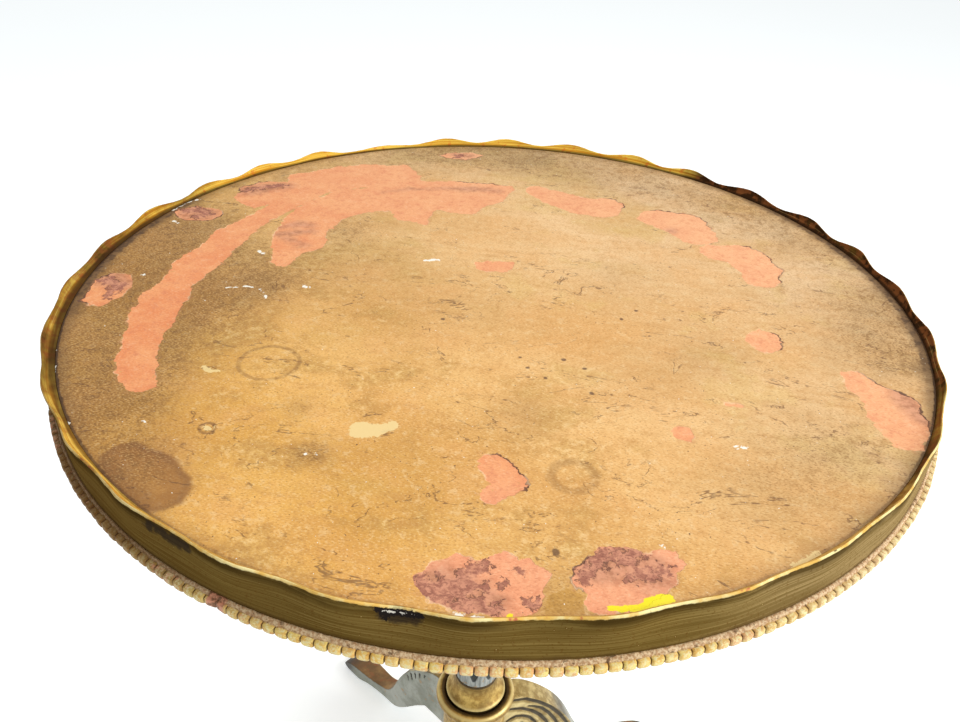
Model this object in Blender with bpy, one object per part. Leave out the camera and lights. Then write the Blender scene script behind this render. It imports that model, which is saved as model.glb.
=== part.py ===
"""Round scalloped tray-top table on a fluted column with three carved scroll legs.

Metres, +Z up. The origin is on the floor, on the column's axis. Each physical
piece is one object. Turned pieces are spun profiles, legs are extruded outlines,
and holes and joints are cut with exact Booleans.
"""

import math

import bmesh
import bpy
from mathutils import Matrix

# ---------------------------------------------------------------- driving sizes
RIM_RADIUS = 0.360          # mean outer radius of the gallery at its rim
RIM_HEIGHT = 0.745          # mean height of the rim above the floor
SCALLOPS = 30               # waves round the rim, one crest on +X
LEG_AZIMUTHS = (144, 24, 264)   # degrees

GAP = 0.0003                # clearance between pieces that touch
MERGE = 0.00001             # vertices closer than this are one
FACETS = 120                # round the tray top: four to each scallop

# tray top
PANEL_TOP = RIM_HEIGHT - 0.0052
PANEL_BOTTOM = RIM_HEIGHT - 0.0340
BAND_INNER = RIM_RADIUS - 0.0050
PANEL_RADIUS = BAND_INNER - GAP
RIM_THICKNESS = 0.0022
RIM_ROUND = 0.0012          # height of the rim's rounded edge
SCALLOP_OUT = 0.0026        # the rim moves this far out at a crest and in at a trough
SCALLOP_UP = 0.0018         # and this far up and down
MOULDING_TOP = PANEL_BOTTOM - GAP
MOULDING_INNER = RIM_RADIUS - 0.0200
BEAD_RADIUS = 0.0042
BEAD_CENTRE = RIM_RADIUS + 0.0022

# underside framing
BATTEN_LENGTH = 0.440
BATTEN_WIDTH = 0.045
BATTEN_THICK = 0.018
BATTEN_X = 0.190
BLOCK_WIDTH = 0.180
BLOCK_THICK = 0.024
BLOCK_SCREW = 0.066         # block screws, from each centre line
BATTEN_SCREW = 0.165        # outer batten screws, along the batten from its middle

# column
TENON_RADIUS = 0.015
SHAFT_BOTTOM = 0.2233
SHAFT_TOP = 0.6400
SHAFT_RADIUS_BOTTOM = 0.0245
SHAFT_RADIUS_TOP = 0.0330
FLUTES = 8
FLUTE_DEPTH = 0.0042
COLLAR_BOTTOM = 0.1863
RING_BOTTOM = 0.1763
RING_RADIUS = 0.0475        # overhangs the tops of the legs
HUB_BOTTOM = 0.0880
HUB_RADIUS = 0.0380
HUB_FLAT = 0.0330           # axis to the flat that each leg sits on

# legs and feet
LEG_THICK = 0.029
LEG_TOP = 0.1720            # the leg's back where it meets the hub
ANKLE_REACH = 0.165         # axis to the narrowest place of each leg
ANKLE_WAIST = 0.24          # how much narrower the leg is there
TONGUE_BACK = 0.0220        # axis to the back of the dovetail tongue
TONGUE_TOP = 0.162
TONGUE_NECK = 0.012
TONGUE_WIDE = 0.018
PLATE_THICK = 0.0025
PLATE_REACH = 0.064
PLATE_SCREW = 0.052         # leg plate screws, from the axis
SPIGOT_RADIUS = 0.0080
PAD_THICK = 0.0025
PAD_RADIUS = 0.0090
PAD_REACH = 0.231           # axis to the middle of each foot pad

SHANK_RADIUS = 0.0022
HEAD_RADIUS = 0.0040
HEAD_DEPTH = 0.0030

GILT = (0.62, 0.45, 0.17)
DARK_GILT = (0.33, 0.25, 0.10)
PALE_GILT = (0.72, 0.57, 0.30)
GREY_WASH = (0.40, 0.41, 0.38)
BARE_WOOD = (0.42, 0.29, 0.17)
OLD_STEEL = (0.26, 0.25, 0.24)
FELT = (0.10, 0.09, 0.08)


# ---------------------------------------------------------------- helpers
def clear_scene():
    for obj in list(bpy.data.objects):
        bpy.data.objects.remove(obj, do_unlink=True)


def make_material(name, colour, roughness, metallic=0.0):
    mat = bpy.data.materials.new(name)
    mat.use_nodes = True
    shader = mat.node_tree.nodes["Principled BSDF"]
    shader.inputs["Base Color"].default_value = (*colour, 1.0)
    shader.inputs["Roughness"].default_value = roughness
    shader.inputs["Metallic"].default_value = metallic
    mat.diffuse_color = (*colour, 1.0)
    return mat


def make_object(name, bm, mat=None, smooth_degrees=None):
    """Turn a bmesh into a linked object with outward faces."""
    bmesh.ops.remove_doubles(bm, verts=bm.verts, dist=MERGE)
    bmesh.ops.recalc_face_normals(bm, faces=bm.faces)
    mesh = bpy.data.meshes.new(name)
    bm.to_mesh(mesh)
    bm.free()
    if smooth_degrees:
        mesh.shade_smooth()
        mesh.set_sharp_from_angle(angle=math.radians(smooth_degrees))
    obj = bpy.data.objects.new(name, mesh)
    bpy.context.scene.collection.objects.link(obj)
    if mat:
        mesh.materials.append(mat)
    return obj


def spin_profile(profile, steps, closed):
    """Spin (radius, height) points once round Z. A closed profile makes a ring."""
    bm = bmesh.new()
    verts = [bm.verts.new((radius, 0.0, height)) for radius, height in profile]
    edges = [bm.edges.new(pair) for pair in zip(verts, verts[1:])]
    if closed:
        edges.append(bm.edges.new((verts[-1], verts[0])))
    bmesh.ops.spin(bm, geom=verts + edges, cent=(0, 0, 0), axis=(0, 0, 1),
                   angle=2 * math.pi, steps=steps, use_duplicate=False)
    bmesh.ops.remove_doubles(bm, verts=bm.verts, dist=MERGE)
    return bm


def turned_ring(name, profile, mat, steps=36):
    return make_object(name, spin_profile(profile, steps, True), mat, 35)


def turned_solid(name, profile, mat=None, steps=24):
    return make_object(name, spin_profile(profile, steps, False), mat, 35)


def box_object(name, size, centre, mat=None, bevel=0.0):
    bm = bmesh.new()
    bmesh.ops.create_cube(bm, size=1.0, matrix=Matrix.Diagonal((*size, 1.0)))
    if bevel:
        bmesh.ops.bevel(bm, geom=bm.edges[:], offset=bevel, segments=1, affect="EDGES")
    obj = make_object(name, bm, mat)
    obj.data.transform(Matrix.Translation(centre))
    return obj


def extrude_outline(outline, thickness):
    """Extrude an (s, z) outline to a plate centred on the XZ plane."""
    bm = bmesh.new()
    face = bm.faces.new([bm.verts.new((s, -thickness / 2, z)) for s, z in outline])
    side = bmesh.ops.extrude_face_region(bm, geom=[face])
    moved = [item for item in side["geom"] if isinstance(item, bmesh.types.BMVert)]
    bmesh.ops.translate(bm, verts=moved, vec=(0, thickness, 0))
    return bm


def smooth_curve(points, steps):
    """Points along a Catmull-Rom curve that passes through the given points."""
    ends = [points[0], *points, points[-1]]
    result = []
    for a, b, c, d in zip(ends, ends[1:], ends[2:], ends[3:]):
        for step in range(steps):
            t = step / steps
            result.append(tuple(
                0.5 * (2 * q + (r - p) * t + (2 * p - 5 * q + 4 * r - s) * t * t
                       + (3 * q - p - 3 * r + s) * t ** 3)
                for p, q, r, s in zip(a, b, c, d)))
    result.append(points[-1])
    return result


def arc(centre_r, centre_z, radius, start, end, steps):
    """Points along an arc in the (radius, height) plane; angles in degrees from +r."""
    angles = [math.radians(start + (end - start) * i / steps) for i in range(steps + 1)]
    return [(centre_r + radius * math.cos(a), centre_z + radius * math.sin(a)) for a in angles]


def combine(target, tool, operation="DIFFERENCE"):
    """Boolean the tool into the target, keep the result and remove the tool."""
    modifier = target.modifiers.new(operation.lower(), "BOOLEAN")
    modifier.operation = operation
    modifier.solver = "EXACT"
    modifier.object = tool
    tool.hide_render = True
    tool.display_type = "WIRE"
    bpy.context.view_layer.update()
    evaluated = target.evaluated_get(bpy.context.evaluated_depsgraph_get())
    result = bpy.data.meshes.new_from_object(evaluated)
    target.modifiers.remove(modifier)
    target.data = result
    bpy.data.objects.remove(tool, do_unlink=True)


def drill(target, radius, x, y, low, high, steps=12):
    """Cut a round vertical hole from height low to height high."""
    profile = [(0, low), (radius, low), (radius, high), (0, high)]
    cutter = turned_solid("drill", profile, steps=steps)
    cutter.data.transform(Matrix.Translation((x, y, 0)))
    combine(target, cutter)


def slotted_screw(name, x, y, head_z, length, mat):
    """A countersunk wood screw pointing up, its head face at head_z."""
    tip = head_z + length
    profile = [(0, head_z), (HEAD_RADIUS, head_z), (SHANK_RADIUS, head_z + HEAD_DEPTH),
               (SHANK_RADIUS, tip - 0.005), (0, tip)]
    screw = turned_solid(name, profile, mat, steps=12)
    slot = box_object("slot", (0.012, 0.0010, 0.0018), (0, 0, head_z))
    combine(screw, slot)
    screw.location = (x, y, 0)
    return screw


def spot(radius, azimuth_degrees):
    """The (x, y) of a point at a radius and azimuth."""
    angle = math.radians(azimuth_degrees)
    return radius * math.cos(angle), radius * math.sin(angle)


# ---------------------------------------------------------------- tray top
def make_panel(mat):
    """The round board, with pilot holes for the screws that hold its framing."""
    profile = [(0, PANEL_BOTTOM), (PANEL_RADIUS, PANEL_BOTTOM),
               (PANEL_RADIUS, PANEL_TOP), (0, PANEL_TOP)]
    panel = turned_solid("top_panel", profile, mat, steps=FACETS)
    for x, y in block_screw_spots() + batten_screw_spots():
        drill(panel, SHANK_RADIUS + GAP, x, y, PANEL_BOTTOM - 0.001, PANEL_BOTTOM + 0.017)
    return panel


def make_gallery(mat):
    """The strip round the board: straight at its foot, scalloped out and up at its rim."""
    foot = PANEL_BOTTOM
    rim_inner = RIM_RADIUS - RIM_THICKNESS
    profile = [
        (BAND_INNER, foot),
        (RIM_RADIUS, foot),
        (RIM_RADIUS, PANEL_TOP),
        (RIM_RADIUS, RIM_HEIGHT - RIM_ROUND),
        (RIM_RADIUS - 0.0007, RIM_HEIGHT - 0.0005),
        (RIM_RADIUS - RIM_THICKNESS / 2, RIM_HEIGHT),
        (rim_inner + 0.0007, RIM_HEIGHT - 0.0005),
        (rim_inner, RIM_HEIGHT - RIM_ROUND),
        (BAND_INNER, PANEL_TOP + GAP),
    ]
    bm = spin_profile(profile, FACETS, True)
    for vert in bm.verts:
        radius = math.hypot(vert.co.x, vert.co.y)
        if radius < BAND_INNER + GAP:
            continue
        wave = math.cos(SCALLOPS * math.atan2(vert.co.y, vert.co.x))
        growth = (vert.co.z - foot) / (RIM_HEIGHT - foot)
        new_radius = radius + SCALLOP_OUT * wave * growth
        vert.co.x *= new_radius / radius
        vert.co.y *= new_radius / radius
        vert.co.z += SCALLOP_UP * wave * growth ** 2
    return make_object("gallery_band", bm, mat, 50)


def make_moulding(mat):
    """The half-round ring under the gallery; its top is the ledge the gallery stands on."""
    centre_z = MOULDING_TOP - BEAD_RADIUS
    profile = [(MOULDING_INNER, MOULDING_TOP)]
    profile += arc(BEAD_CENTRE, centre_z, BEAD_RADIUS, 90, -90, 5)
    profile += [(MOULDING_INNER, MOULDING_TOP - 2 * BEAD_RADIUS)]
    return turned_ring("bead_moulding", profile[::-1], mat, steps=96)


# ---------------------------------------------------------------- underside framing
def block_screw_spots():
    return [(sx * BLOCK_SCREW, sy * BLOCK_SCREW) for sx in (-1, 1) for sy in (-1, 1)]


def batten_screw_spots():
    return [(sx * BATTEN_X, place * BATTEN_SCREW) for sx in (-1, 1) for place in (-1, 0, 1)]


def sink_screw(target, x, y, face_z):
    """A clearance hole with a counterbore for a screw head, from the face at face_z up."""
    drill(target, SHANK_RADIUS + GAP, x, y, face_z - 0.001, face_z + 0.030)
    drill(target, HEAD_RADIUS + GAP, x, y, face_z - 0.001, face_z + HEAD_DEPTH + 0.001)


def make_battens(mat):
    """Two battens across the board's grain."""
    face_z = MOULDING_TOP - BATTEN_THICK
    battens = []
    for name, x in (("batten_left", -BATTEN_X), ("batten_right", BATTEN_X)):
        batten = box_object(name, (BATTEN_WIDTH, BATTEN_LENGTH, BATTEN_THICK),
                            (x, 0, face_z + BATTEN_THICK / 2), mat, bevel=0.002)
        for place in (-1, 0, 1):
            sink_screw(batten, x, place * BATTEN_SCREW, face_z)
        battens.append(batten)
    return battens


def make_block(mat):
    """The square block that holds the column's top tenon."""
    face_z = MOULDING_TOP - BLOCK_THICK
    block = box_object("top_block", (BLOCK_WIDTH, BLOCK_WIDTH, BLOCK_THICK),
                       (0, 0, face_z + BLOCK_THICK / 2), mat, bevel=0.003)
    drill(block, TENON_RADIUS + GAP, 0, 0, face_z - 0.001, MOULDING_TOP + 0.001, steps=32)
    for x, y in block_screw_spots():
        sink_screw(block, x, y, face_z)
    return block


def make_framing_screws(mat):
    screws = []
    for index, (x, y) in enumerate(block_screw_spots(), 1):
        screws.append(slotted_screw(f"block_screw_{index}", x, y,
                                    MOULDING_TOP - BLOCK_THICK + GAP, 0.038, mat))
    for index, (x, y) in enumerate(batten_screw_spots(), 1):
        screws.append(slotted_screw(f"batten_screw_{index}", x, y,
                                    MOULDING_TOP - BATTEN_THICK + GAP, 0.032, mat))
    return screws


# ---------------------------------------------------------------- column
def make_capital(mat):
    """The turned capital between the shaft and the block."""
    top = MOULDING_TOP - BLOCK_THICK - GAP
    bottom = SHAFT_TOP + GAP
    bore = TENON_RADIUS + GAP
    profile = [(bore, bottom), (0.0345, bottom)]
    profile += arc(0.0345, bottom + 0.0045, 0.0045, -60, 60, 3)
    profile += [(0.0350, bottom + 0.011)]
    profile += arc(0.0600, bottom + 0.0110, 0.0250, 180, 105, 4)
    profile += [(0.0560, top - 0.009), (0.0590, top - 0.007), (0.0590, top), (bore, top)]
    return turned_ring("column_capital", profile, mat)


def make_shaft(mat):
    """The fluted shaft with a tenon at each end and a kerf for the top wedge."""
    lobe = 6
    count = FLUTES * lobe
    length = SHAFT_TOP - SHAFT_BOTTOM
    places = (0.0, 0.018, 0.022, 0.032, 0.05, 0.25, 0.5, 0.75, 0.95, 0.968, 0.978, 0.982, 1.0)
    bm = bmesh.new()
    rings = []
    for place in places:
        radius = SHAFT_RADIUS_BOTTOM + (SHAFT_RADIUS_TOP - SHAFT_RADIUS_BOTTOM) * place
        edge = min(place, 1 - place)
        fade = min(max((edge - 0.022) / 0.028, 0.0), 1.0) ** 0.5
        ring = []
        for index in range(count):
            angle = 2 * math.pi * index / count
            across = 0.5 + 0.5 * math.cos(FLUTES * angle)
            r = radius - FLUTE_DEPTH * fade * across
            ring.append(bm.verts.new((r * math.cos(angle), r * math.sin(angle),
                                      SHAFT_BOTTOM + length * place)))
        rings.append(ring)
    for low, high in zip(rings, rings[1:]):
        for i in range(count):
            j = (i + 1) % count
            bm.faces.new((low[i], low[j], high[j], high[i]))
    bm.faces.new(rings[0][::-1])
    bm.faces.new(rings[-1])
    shaft = make_object("column_shaft", bm, mat, 50)
    overlap = 0.010
    for low, high in ((HUB_BOTTOM + 0.025, SHAFT_BOTTOM + overlap),
                      (SHAFT_TOP - overlap, PANEL_BOTTOM - 0.001)):
        tenon = turned_solid("tenon", [(0, low), (TENON_RADIUS, low), (TENON_RADIUS, high),
                                       (0, high)], steps=32)
        combine(shaft, tenon, "UNION")
    top = PANEL_BOTTOM - 0.001
    kerf = box_object("kerf", (0.040, 0.0030, 0.036), (0, 0, top))
    combine(shaft, kerf)
    return shaft


def make_wedge(mat):
    """The tapered wedge driven into the top tenon's kerf."""
    top = PANEL_BOTTOM - 0.001
    depth = 0.017
    wedge = box_object("shaft_wedge", (0.026, 0.0024, depth), (0, 0, top - depth / 2), mat)
    for vert in wedge.data.vertices:
        if vert.co.z < top - depth / 2:
            vert.co.y *= 0.4
    return wedge


def make_collar(mat):
    """The flared collar at the foot of the shaft."""
    bore = TENON_RADIUS + GAP
    top = SHAFT_BOTTOM - GAP
    flare = smooth_curve([(0.0255, top - 0.0025), (0.0252, 0.2140), (0.0268, 0.2060),
                          (0.0302, 0.1990), (0.0350, 0.1938)], 2)
    profile = [(bore, COLLAR_BOTTOM), (bore, top), (0.0248, top)]
    profile += flare
    profile += [(0.0356, 0.1925), (0.0350, 0.1910), (0.0318, 0.1892), (0.0300, COLLAR_BOTTOM)]
    return turned_ring("flared_collar", profile[::-1], mat)


def make_ring(mat):
    """The bold turned ring between the collar and the hub."""
    bore = TENON_RADIUS + GAP
    tube = 0.0068
    centre_z = RING_BOTTOM + tube
    top = COLLAR_BOTTOM - GAP
    profile = [(bore, RING_BOTTOM), (RING_RADIUS - tube, RING_BOTTOM)]
    profile += arc(RING_RADIUS - tube, centre_z, tube, -70, 130, 9)
    profile += [(0.0340, top), (bore, top)]
    return turned_ring("column_ring", profile, mat)


# ---------------------------------------------------------------- hub and legs
def tongue_outline(clearance):
    """The dovetail's plan: narrow at the hub's flat, wide at its back."""
    neck = TONGUE_NECK / 2 + clearance
    wide = TONGUE_WIDE / 2 + clearance
    front = HUB_FLAT + 0.006
    return [(TONGUE_BACK - clearance, -wide), (HUB_FLAT, -neck), (front, -neck),
            (front, neck), (HUB_FLAT, neck), (TONGUE_BACK - clearance, wide)]


def dovetail(name, clearance, low, high):
    bm = bmesh.new()
    face = bm.faces.new([bm.verts.new((x, y, low)) for x, y in tongue_outline(clearance)])
    side = bmesh.ops.extrude_face_region(bm, geom=[face])
    moved = [item for item in side["geom"] if isinstance(item, bmesh.types.BMVert)]
    bmesh.ops.translate(bm, verts=moved, vec=(0, 0, high - low))
    return make_object(name, bm)


def make_hub(mat):
    """The hub: a drum with a flat and a dovetail slot for each leg, bored at both ends."""
    top = RING_BOTTOM - GAP
    profile = [(0, HUB_BOTTOM), (HUB_RADIUS - 0.003, HUB_BOTTOM),
               (HUB_RADIUS, HUB_BOTTOM + 0.003), (HUB_RADIUS, top), (0, top)]
    hub = turned_solid("leg_hub", profile, mat, steps=36)
    drill(hub, TENON_RADIUS + GAP, 0, 0, HUB_BOTTOM + 0.024, top + 0.001, steps=32)
    drill(hub, SPIGOT_RADIUS + GAP, 0, 0, HUB_BOTTOM - 0.001, HUB_BOTTOM + 0.018, steps=24)
    for azimuth in LEG_AZIMUTHS:
        turn = Matrix.Rotation(math.radians(azimuth), 4, "Z")
        flat = box_object("flat", (0.02, 0.08, 0.12), (HUB_FLAT + 0.01, 0, 0.13))
        flat.data.transform(turn)
        combine(hub, flat)
        slot = dovetail("slot", GAP, HUB_BOTTOM - 0.001, TONGUE_TOP + GAP)
        slot.data.transform(turn)
        combine(hub, slot)
    return hub


def leg_outline():
    """The leg's side outline as (distance from the axis, height), hub to toe and back."""
    inner = HUB_FLAT + GAP
    sole_z = PAD_THICK + GAP
    back = [(inner, LEG_TOP), (0.0480, LEG_TOP), (0.0570, 0.1708), (0.0680, 0.1650),
            (0.0810, 0.1555), (0.0940, 0.1435), (0.1070, 0.1290), (0.1180, 0.1130),
            (0.1270, 0.0960), (0.1350, 0.0780), (0.1420, 0.0610), (0.1500, 0.0465),
            (0.1600, 0.0360), (0.1720, 0.0310), (0.1860, 0.0285), (0.2010, 0.0270),
            (0.2160, 0.0255), (0.2300, 0.0230), (0.2420, 0.0185), (0.2500, 0.0125),
            (0.2520, 0.0085), (0.2490, 0.0050), (0.2430, sole_z)]
    sole = [(0.2200, sole_z), (0.2140, 0.0048), (0.2030, 0.0095), (0.1900, 0.0120),
            (0.1720, 0.0125), (0.1540, 0.0140), (0.1420, 0.0185), (0.1320, 0.0255),
            (0.1220, 0.0355), (0.1130, 0.0460), (0.1040, 0.0570), (0.0950, 0.0680),
            (0.0860, 0.0775), (0.0760, HUB_BOTTOM)]
    return smooth_curve(back, 2) + smooth_curve(sole, 2) + [(inner, HUB_BOTTOM)]


def leg_width(s):
    """How wide the leg is, as a share of its thickness: it narrows at the ankle."""
    waist = math.exp(-((s - ANKLE_REACH) / 0.030) ** 2)
    return 1.0 - ANKLE_WAIST * waist


def on_carved_rim(edge):
    """Whether an edge joins a leg's side to its carved back or sole, clear of the hub."""
    side_faces = sum(abs(face.normal.y) > 0.5 for face in edge.link_faces)
    beyond_hub = max(vert.co.x for vert in edge.verts) > RING_RADIUS + 0.030
    on_back = min(vert.co.z for vert in edge.verts) > LEG_TOP - 0.040
    past_ring = min(vert.co.x for vert in edge.verts) > RING_RADIUS
    return side_faces == 1 and (beyond_hub or (on_back and past_ring))


def make_legs(mat):
    """Three scroll legs that share one mesh, each with a dovetail tongue."""
    bm = extrude_outline(leg_outline(), LEG_THICK)
    bm.normal_update()
    rim = [edge for edge in bm.edges if on_carved_rim(edge)]
    bmesh.ops.bevel(bm, geom=rim, offset=0.0035, segments=1, affect="EDGES", clamp_overlap=True)
    for vert in bm.verts:
        vert.co.y *= leg_width(vert.co.x)
    leg = make_object("leg_1", bm, mat, 40)
    tongue = dovetail("tongue", 0.0, HUB_BOTTOM, TONGUE_TOP)
    combine(leg, tongue, "UNION")
    drill(leg, SHANK_RADIUS + GAP, PLATE_SCREW, 0, HUB_BOTTOM - 0.001, HUB_BOTTOM + 0.019)
    legs = [leg]
    for index in (2, 3):
        copy = bpy.data.objects.new(f"leg_{index}", leg.data)
        bpy.context.scene.collection.objects.link(copy)
        legs.append(copy)
    for item, azimuth in zip(legs, LEG_AZIMUTHS):
        item.rotation_euler.z = math.radians(azimuth)
    return legs


def make_leg_plate(mat):
    """The three-armed steel plate screwed up into the legs under the hub."""
    top = HUB_BOTTOM - GAP
    bottom = top - PLATE_THICK
    plate = turned_solid("leg_plate", [(0, bottom), (0.024, bottom), (0.024, top), (0, top)], mat)
    for azimuth in LEG_AZIMUTHS:
        arm = box_object("arm", (PLATE_REACH, 0.018, PLATE_THICK),
                         (PLATE_REACH / 2, 0, (top + bottom) / 2))
        arm.data.transform(Matrix.Rotation(math.radians(azimuth), 4, "Z"))
        combine(plate, arm, "UNION")
    for azimuth in LEG_AZIMUTHS:
        x, y = spot(PLATE_SCREW, azimuth)
        drill(plate, HEAD_RADIUS + GAP, x, y, bottom - 0.001, top + 0.001)
    drill(plate, SPIGOT_RADIUS + GAP, 0, 0, bottom - 0.001, top + 0.001, steps=24)
    return plate


def make_plate_screws(mat):
    head_z = HUB_BOTTOM - GAP - PLATE_THICK
    screws = []
    for index, azimuth in enumerate(LEG_AZIMUTHS, 1):
        profile = [(0, head_z), (HEAD_RADIUS, head_z), (SHANK_RADIUS, head_z + PLATE_THICK),
                   (SHANK_RADIUS, head_z + 0.016), (0, head_z + 0.020)]
        screw = turned_solid(f"plate_screw_{index}", profile, mat, steps=12)
        combine(screw, box_object("slot", (0.012, 0.0010, 0.0016), (0, 0, head_z)))
        screw.location = (*spot(PLATE_SCREW, azimuth), 0)
        screws.append(screw)
    return screws


def make_finial(mat):
    """The turned drop under the hub, held by a spigot through the leg plate."""
    top = HUB_BOTTOM - 2 * GAP - PLATE_THICK
    profile = [(0, top + 0.018), (SPIGOT_RADIUS, top + 0.018), (SPIGOT_RADIUS, top),
               (0.0190, top), (0.0190, top - 0.0030), (0.0125, top - 0.0060)]
    profile += arc(0.0, top - 0.0150, 0.0130, 30, -75, 6)
    profile += [(0, top - 0.0285)]
    return turned_solid("drop_finial", profile, mat, steps=32)


def make_foot_pads(mat):
    pads = []
    profile = [(0, 0), (PAD_RADIUS - 0.0006, 0), (PAD_RADIUS, 0.0006),
               (PAD_RADIUS, PAD_THICK), (0, PAD_THICK)]
    for index, azimuth in enumerate(LEG_AZIMUTHS, 1):
        pad = turned_solid(f"foot_pad_{index}", profile, mat, steps=24)
        pad.location = (*spot(PAD_REACH, azimuth), 0)
        pads.append(pad)
    return pads


def build():
    clear_scene()
    finishes = {
        "panel": make_material("ochre gilt board", GILT, 0.55, 0.15),
        "wall": make_material("dark olive gilt", DARK_GILT, 0.50, 0.30),
        "bead": make_material("pale gilt beading", PALE_GILT, 0.50, 0.30),
        "turning": make_material("antique gold turning", GILT, 0.42, 0.45),
        "wash": make_material("blue grey wash", GREY_WASH, 0.60),
        "leg": make_material("antique gold carving", GILT, 0.45, 0.40),
        "wood": make_material("bare framing wood", BARE_WOOD, 0.75),
        "steel": make_material("old steel", OLD_STEEL, 0.50, 0.90),
        "felt": make_material("dark felt", FELT, 0.95),
    }
    pieces = [
        make_panel(finishes["panel"]),
        make_gallery(finishes["wall"]),
        make_moulding(finishes["bead"]),
        make_block(finishes["wood"]),
        make_capital(finishes["turning"]),
        make_shaft(finishes["wash"]),
        make_wedge(finishes["wood"]),
        make_collar(finishes["turning"]),
        make_ring(finishes["turning"]),
        make_hub(finishes["leg"]),
        make_leg_plate(finishes["steel"]),
        make_finial(finishes["turning"]),
    ]
    pieces += make_battens(finishes["wood"])
    pieces += make_framing_screws(finishes["steel"])
    pieces += make_legs(finishes["leg"])
    pieces += make_plate_screws(finishes["steel"])
    pieces += make_foot_pads(finishes["felt"])
    table = bpy.data.objects.new("tripod_table", None)
    bpy.context.scene.collection.objects.link(table)
    for piece in pieces:
        piece.parent = table


build()
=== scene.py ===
"""Looks for a worn gilt-wood tray-top table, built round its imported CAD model.

Metres, +Z up, origin on the floor on the column's axis. Wear on the board is laid out
in millimetres from the board's centre, with X to the right and Y away from the viewer.
"""

import math

import bmesh
import bpy
import numpy as np
from mathutils import Matrix, Vector


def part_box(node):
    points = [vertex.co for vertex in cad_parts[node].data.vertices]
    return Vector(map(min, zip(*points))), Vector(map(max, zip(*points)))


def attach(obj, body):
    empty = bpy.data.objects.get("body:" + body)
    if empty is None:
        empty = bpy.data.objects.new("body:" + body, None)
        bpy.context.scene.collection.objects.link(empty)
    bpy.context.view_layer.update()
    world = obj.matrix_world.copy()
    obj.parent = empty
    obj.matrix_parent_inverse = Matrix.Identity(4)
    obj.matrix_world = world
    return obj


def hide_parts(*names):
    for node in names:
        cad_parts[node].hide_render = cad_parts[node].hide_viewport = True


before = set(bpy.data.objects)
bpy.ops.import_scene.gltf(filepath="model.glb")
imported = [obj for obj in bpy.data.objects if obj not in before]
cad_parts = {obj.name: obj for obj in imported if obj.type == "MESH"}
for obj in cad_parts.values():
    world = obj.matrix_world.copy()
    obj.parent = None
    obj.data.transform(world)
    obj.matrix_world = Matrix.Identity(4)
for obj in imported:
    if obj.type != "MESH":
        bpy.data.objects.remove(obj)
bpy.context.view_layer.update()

# ---------------- sizes from the CAD frame
board_low, board_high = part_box("top_panel")
wall_low, wall_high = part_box("gallery_band")
bead_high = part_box("bead_moulding")[1]
shaft_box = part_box("column_shaft")
capital_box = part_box("column_capital")
collar_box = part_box("flared_collar")
ring_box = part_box("column_ring")
hub_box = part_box("leg_hub")
finial_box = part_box("drop_finial")

BOARD_TOP = board_high.z
BOARD_BOTTOM = board_low.z
BOARD_RADIUS = board_high.x
RIM_MEAN_RADIUS = 0.36
RIM_MEAN_HEIGHT = 0.745
RIM_THICKNESS = 0.0022
RIM_ROUND = 0.0011
WALL_FOOT_RADIUS = 0.355
SCALLOPS = 30
SCALLOP_OUT = 0.0026
SCALLOP_UP = 0.0018
BEADS = 275
BEAD_CENTRE = 0.3622
BEAD_SIZE = 0.0042
LEG_AZIMUTHS = (144, 24, 264)
LEG_THICK = 0.029
MM = 0.001
SEED = 20
BORE = 0.0153
LIGHTS_AIM = (0, 0, 0.71)
# degrees from X in which the board's paint was brushed
BRUSHED_AT = 38
# screen colour times this is the surface colour that shows as it under the table's light
LIGHT_SHARE = 0.8


def spread(low, high, share):
    """The value at a share of the way from low to high."""
    return low + (high - low) * share


def ease(x, low, high):
    """0 below low, 1 above high, smooth between; works on arrays."""
    t = np.clip((x - low) / (high - low), 0.0, 1.0)
    return t * t * (3 - 2 * t)


def lookup(degrees, table):
    """The value at these azimuths, from a table of (azimuth, value)."""
    return np.interp(degrees, *zip(*table))


# ---------------- colours
def linear(value):
    value /= 255
    return value / 12.92 if value <= 0.04045 else ((value + 0.055) / 1.055) ** 2.4


def tone(red, green, blue):
    """Surface colour that shows as this screen colour under the table's light."""
    return tuple(linear(v) * LIGHT_SHARE for v in (red, green, blue)) + (1.0,)


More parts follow.
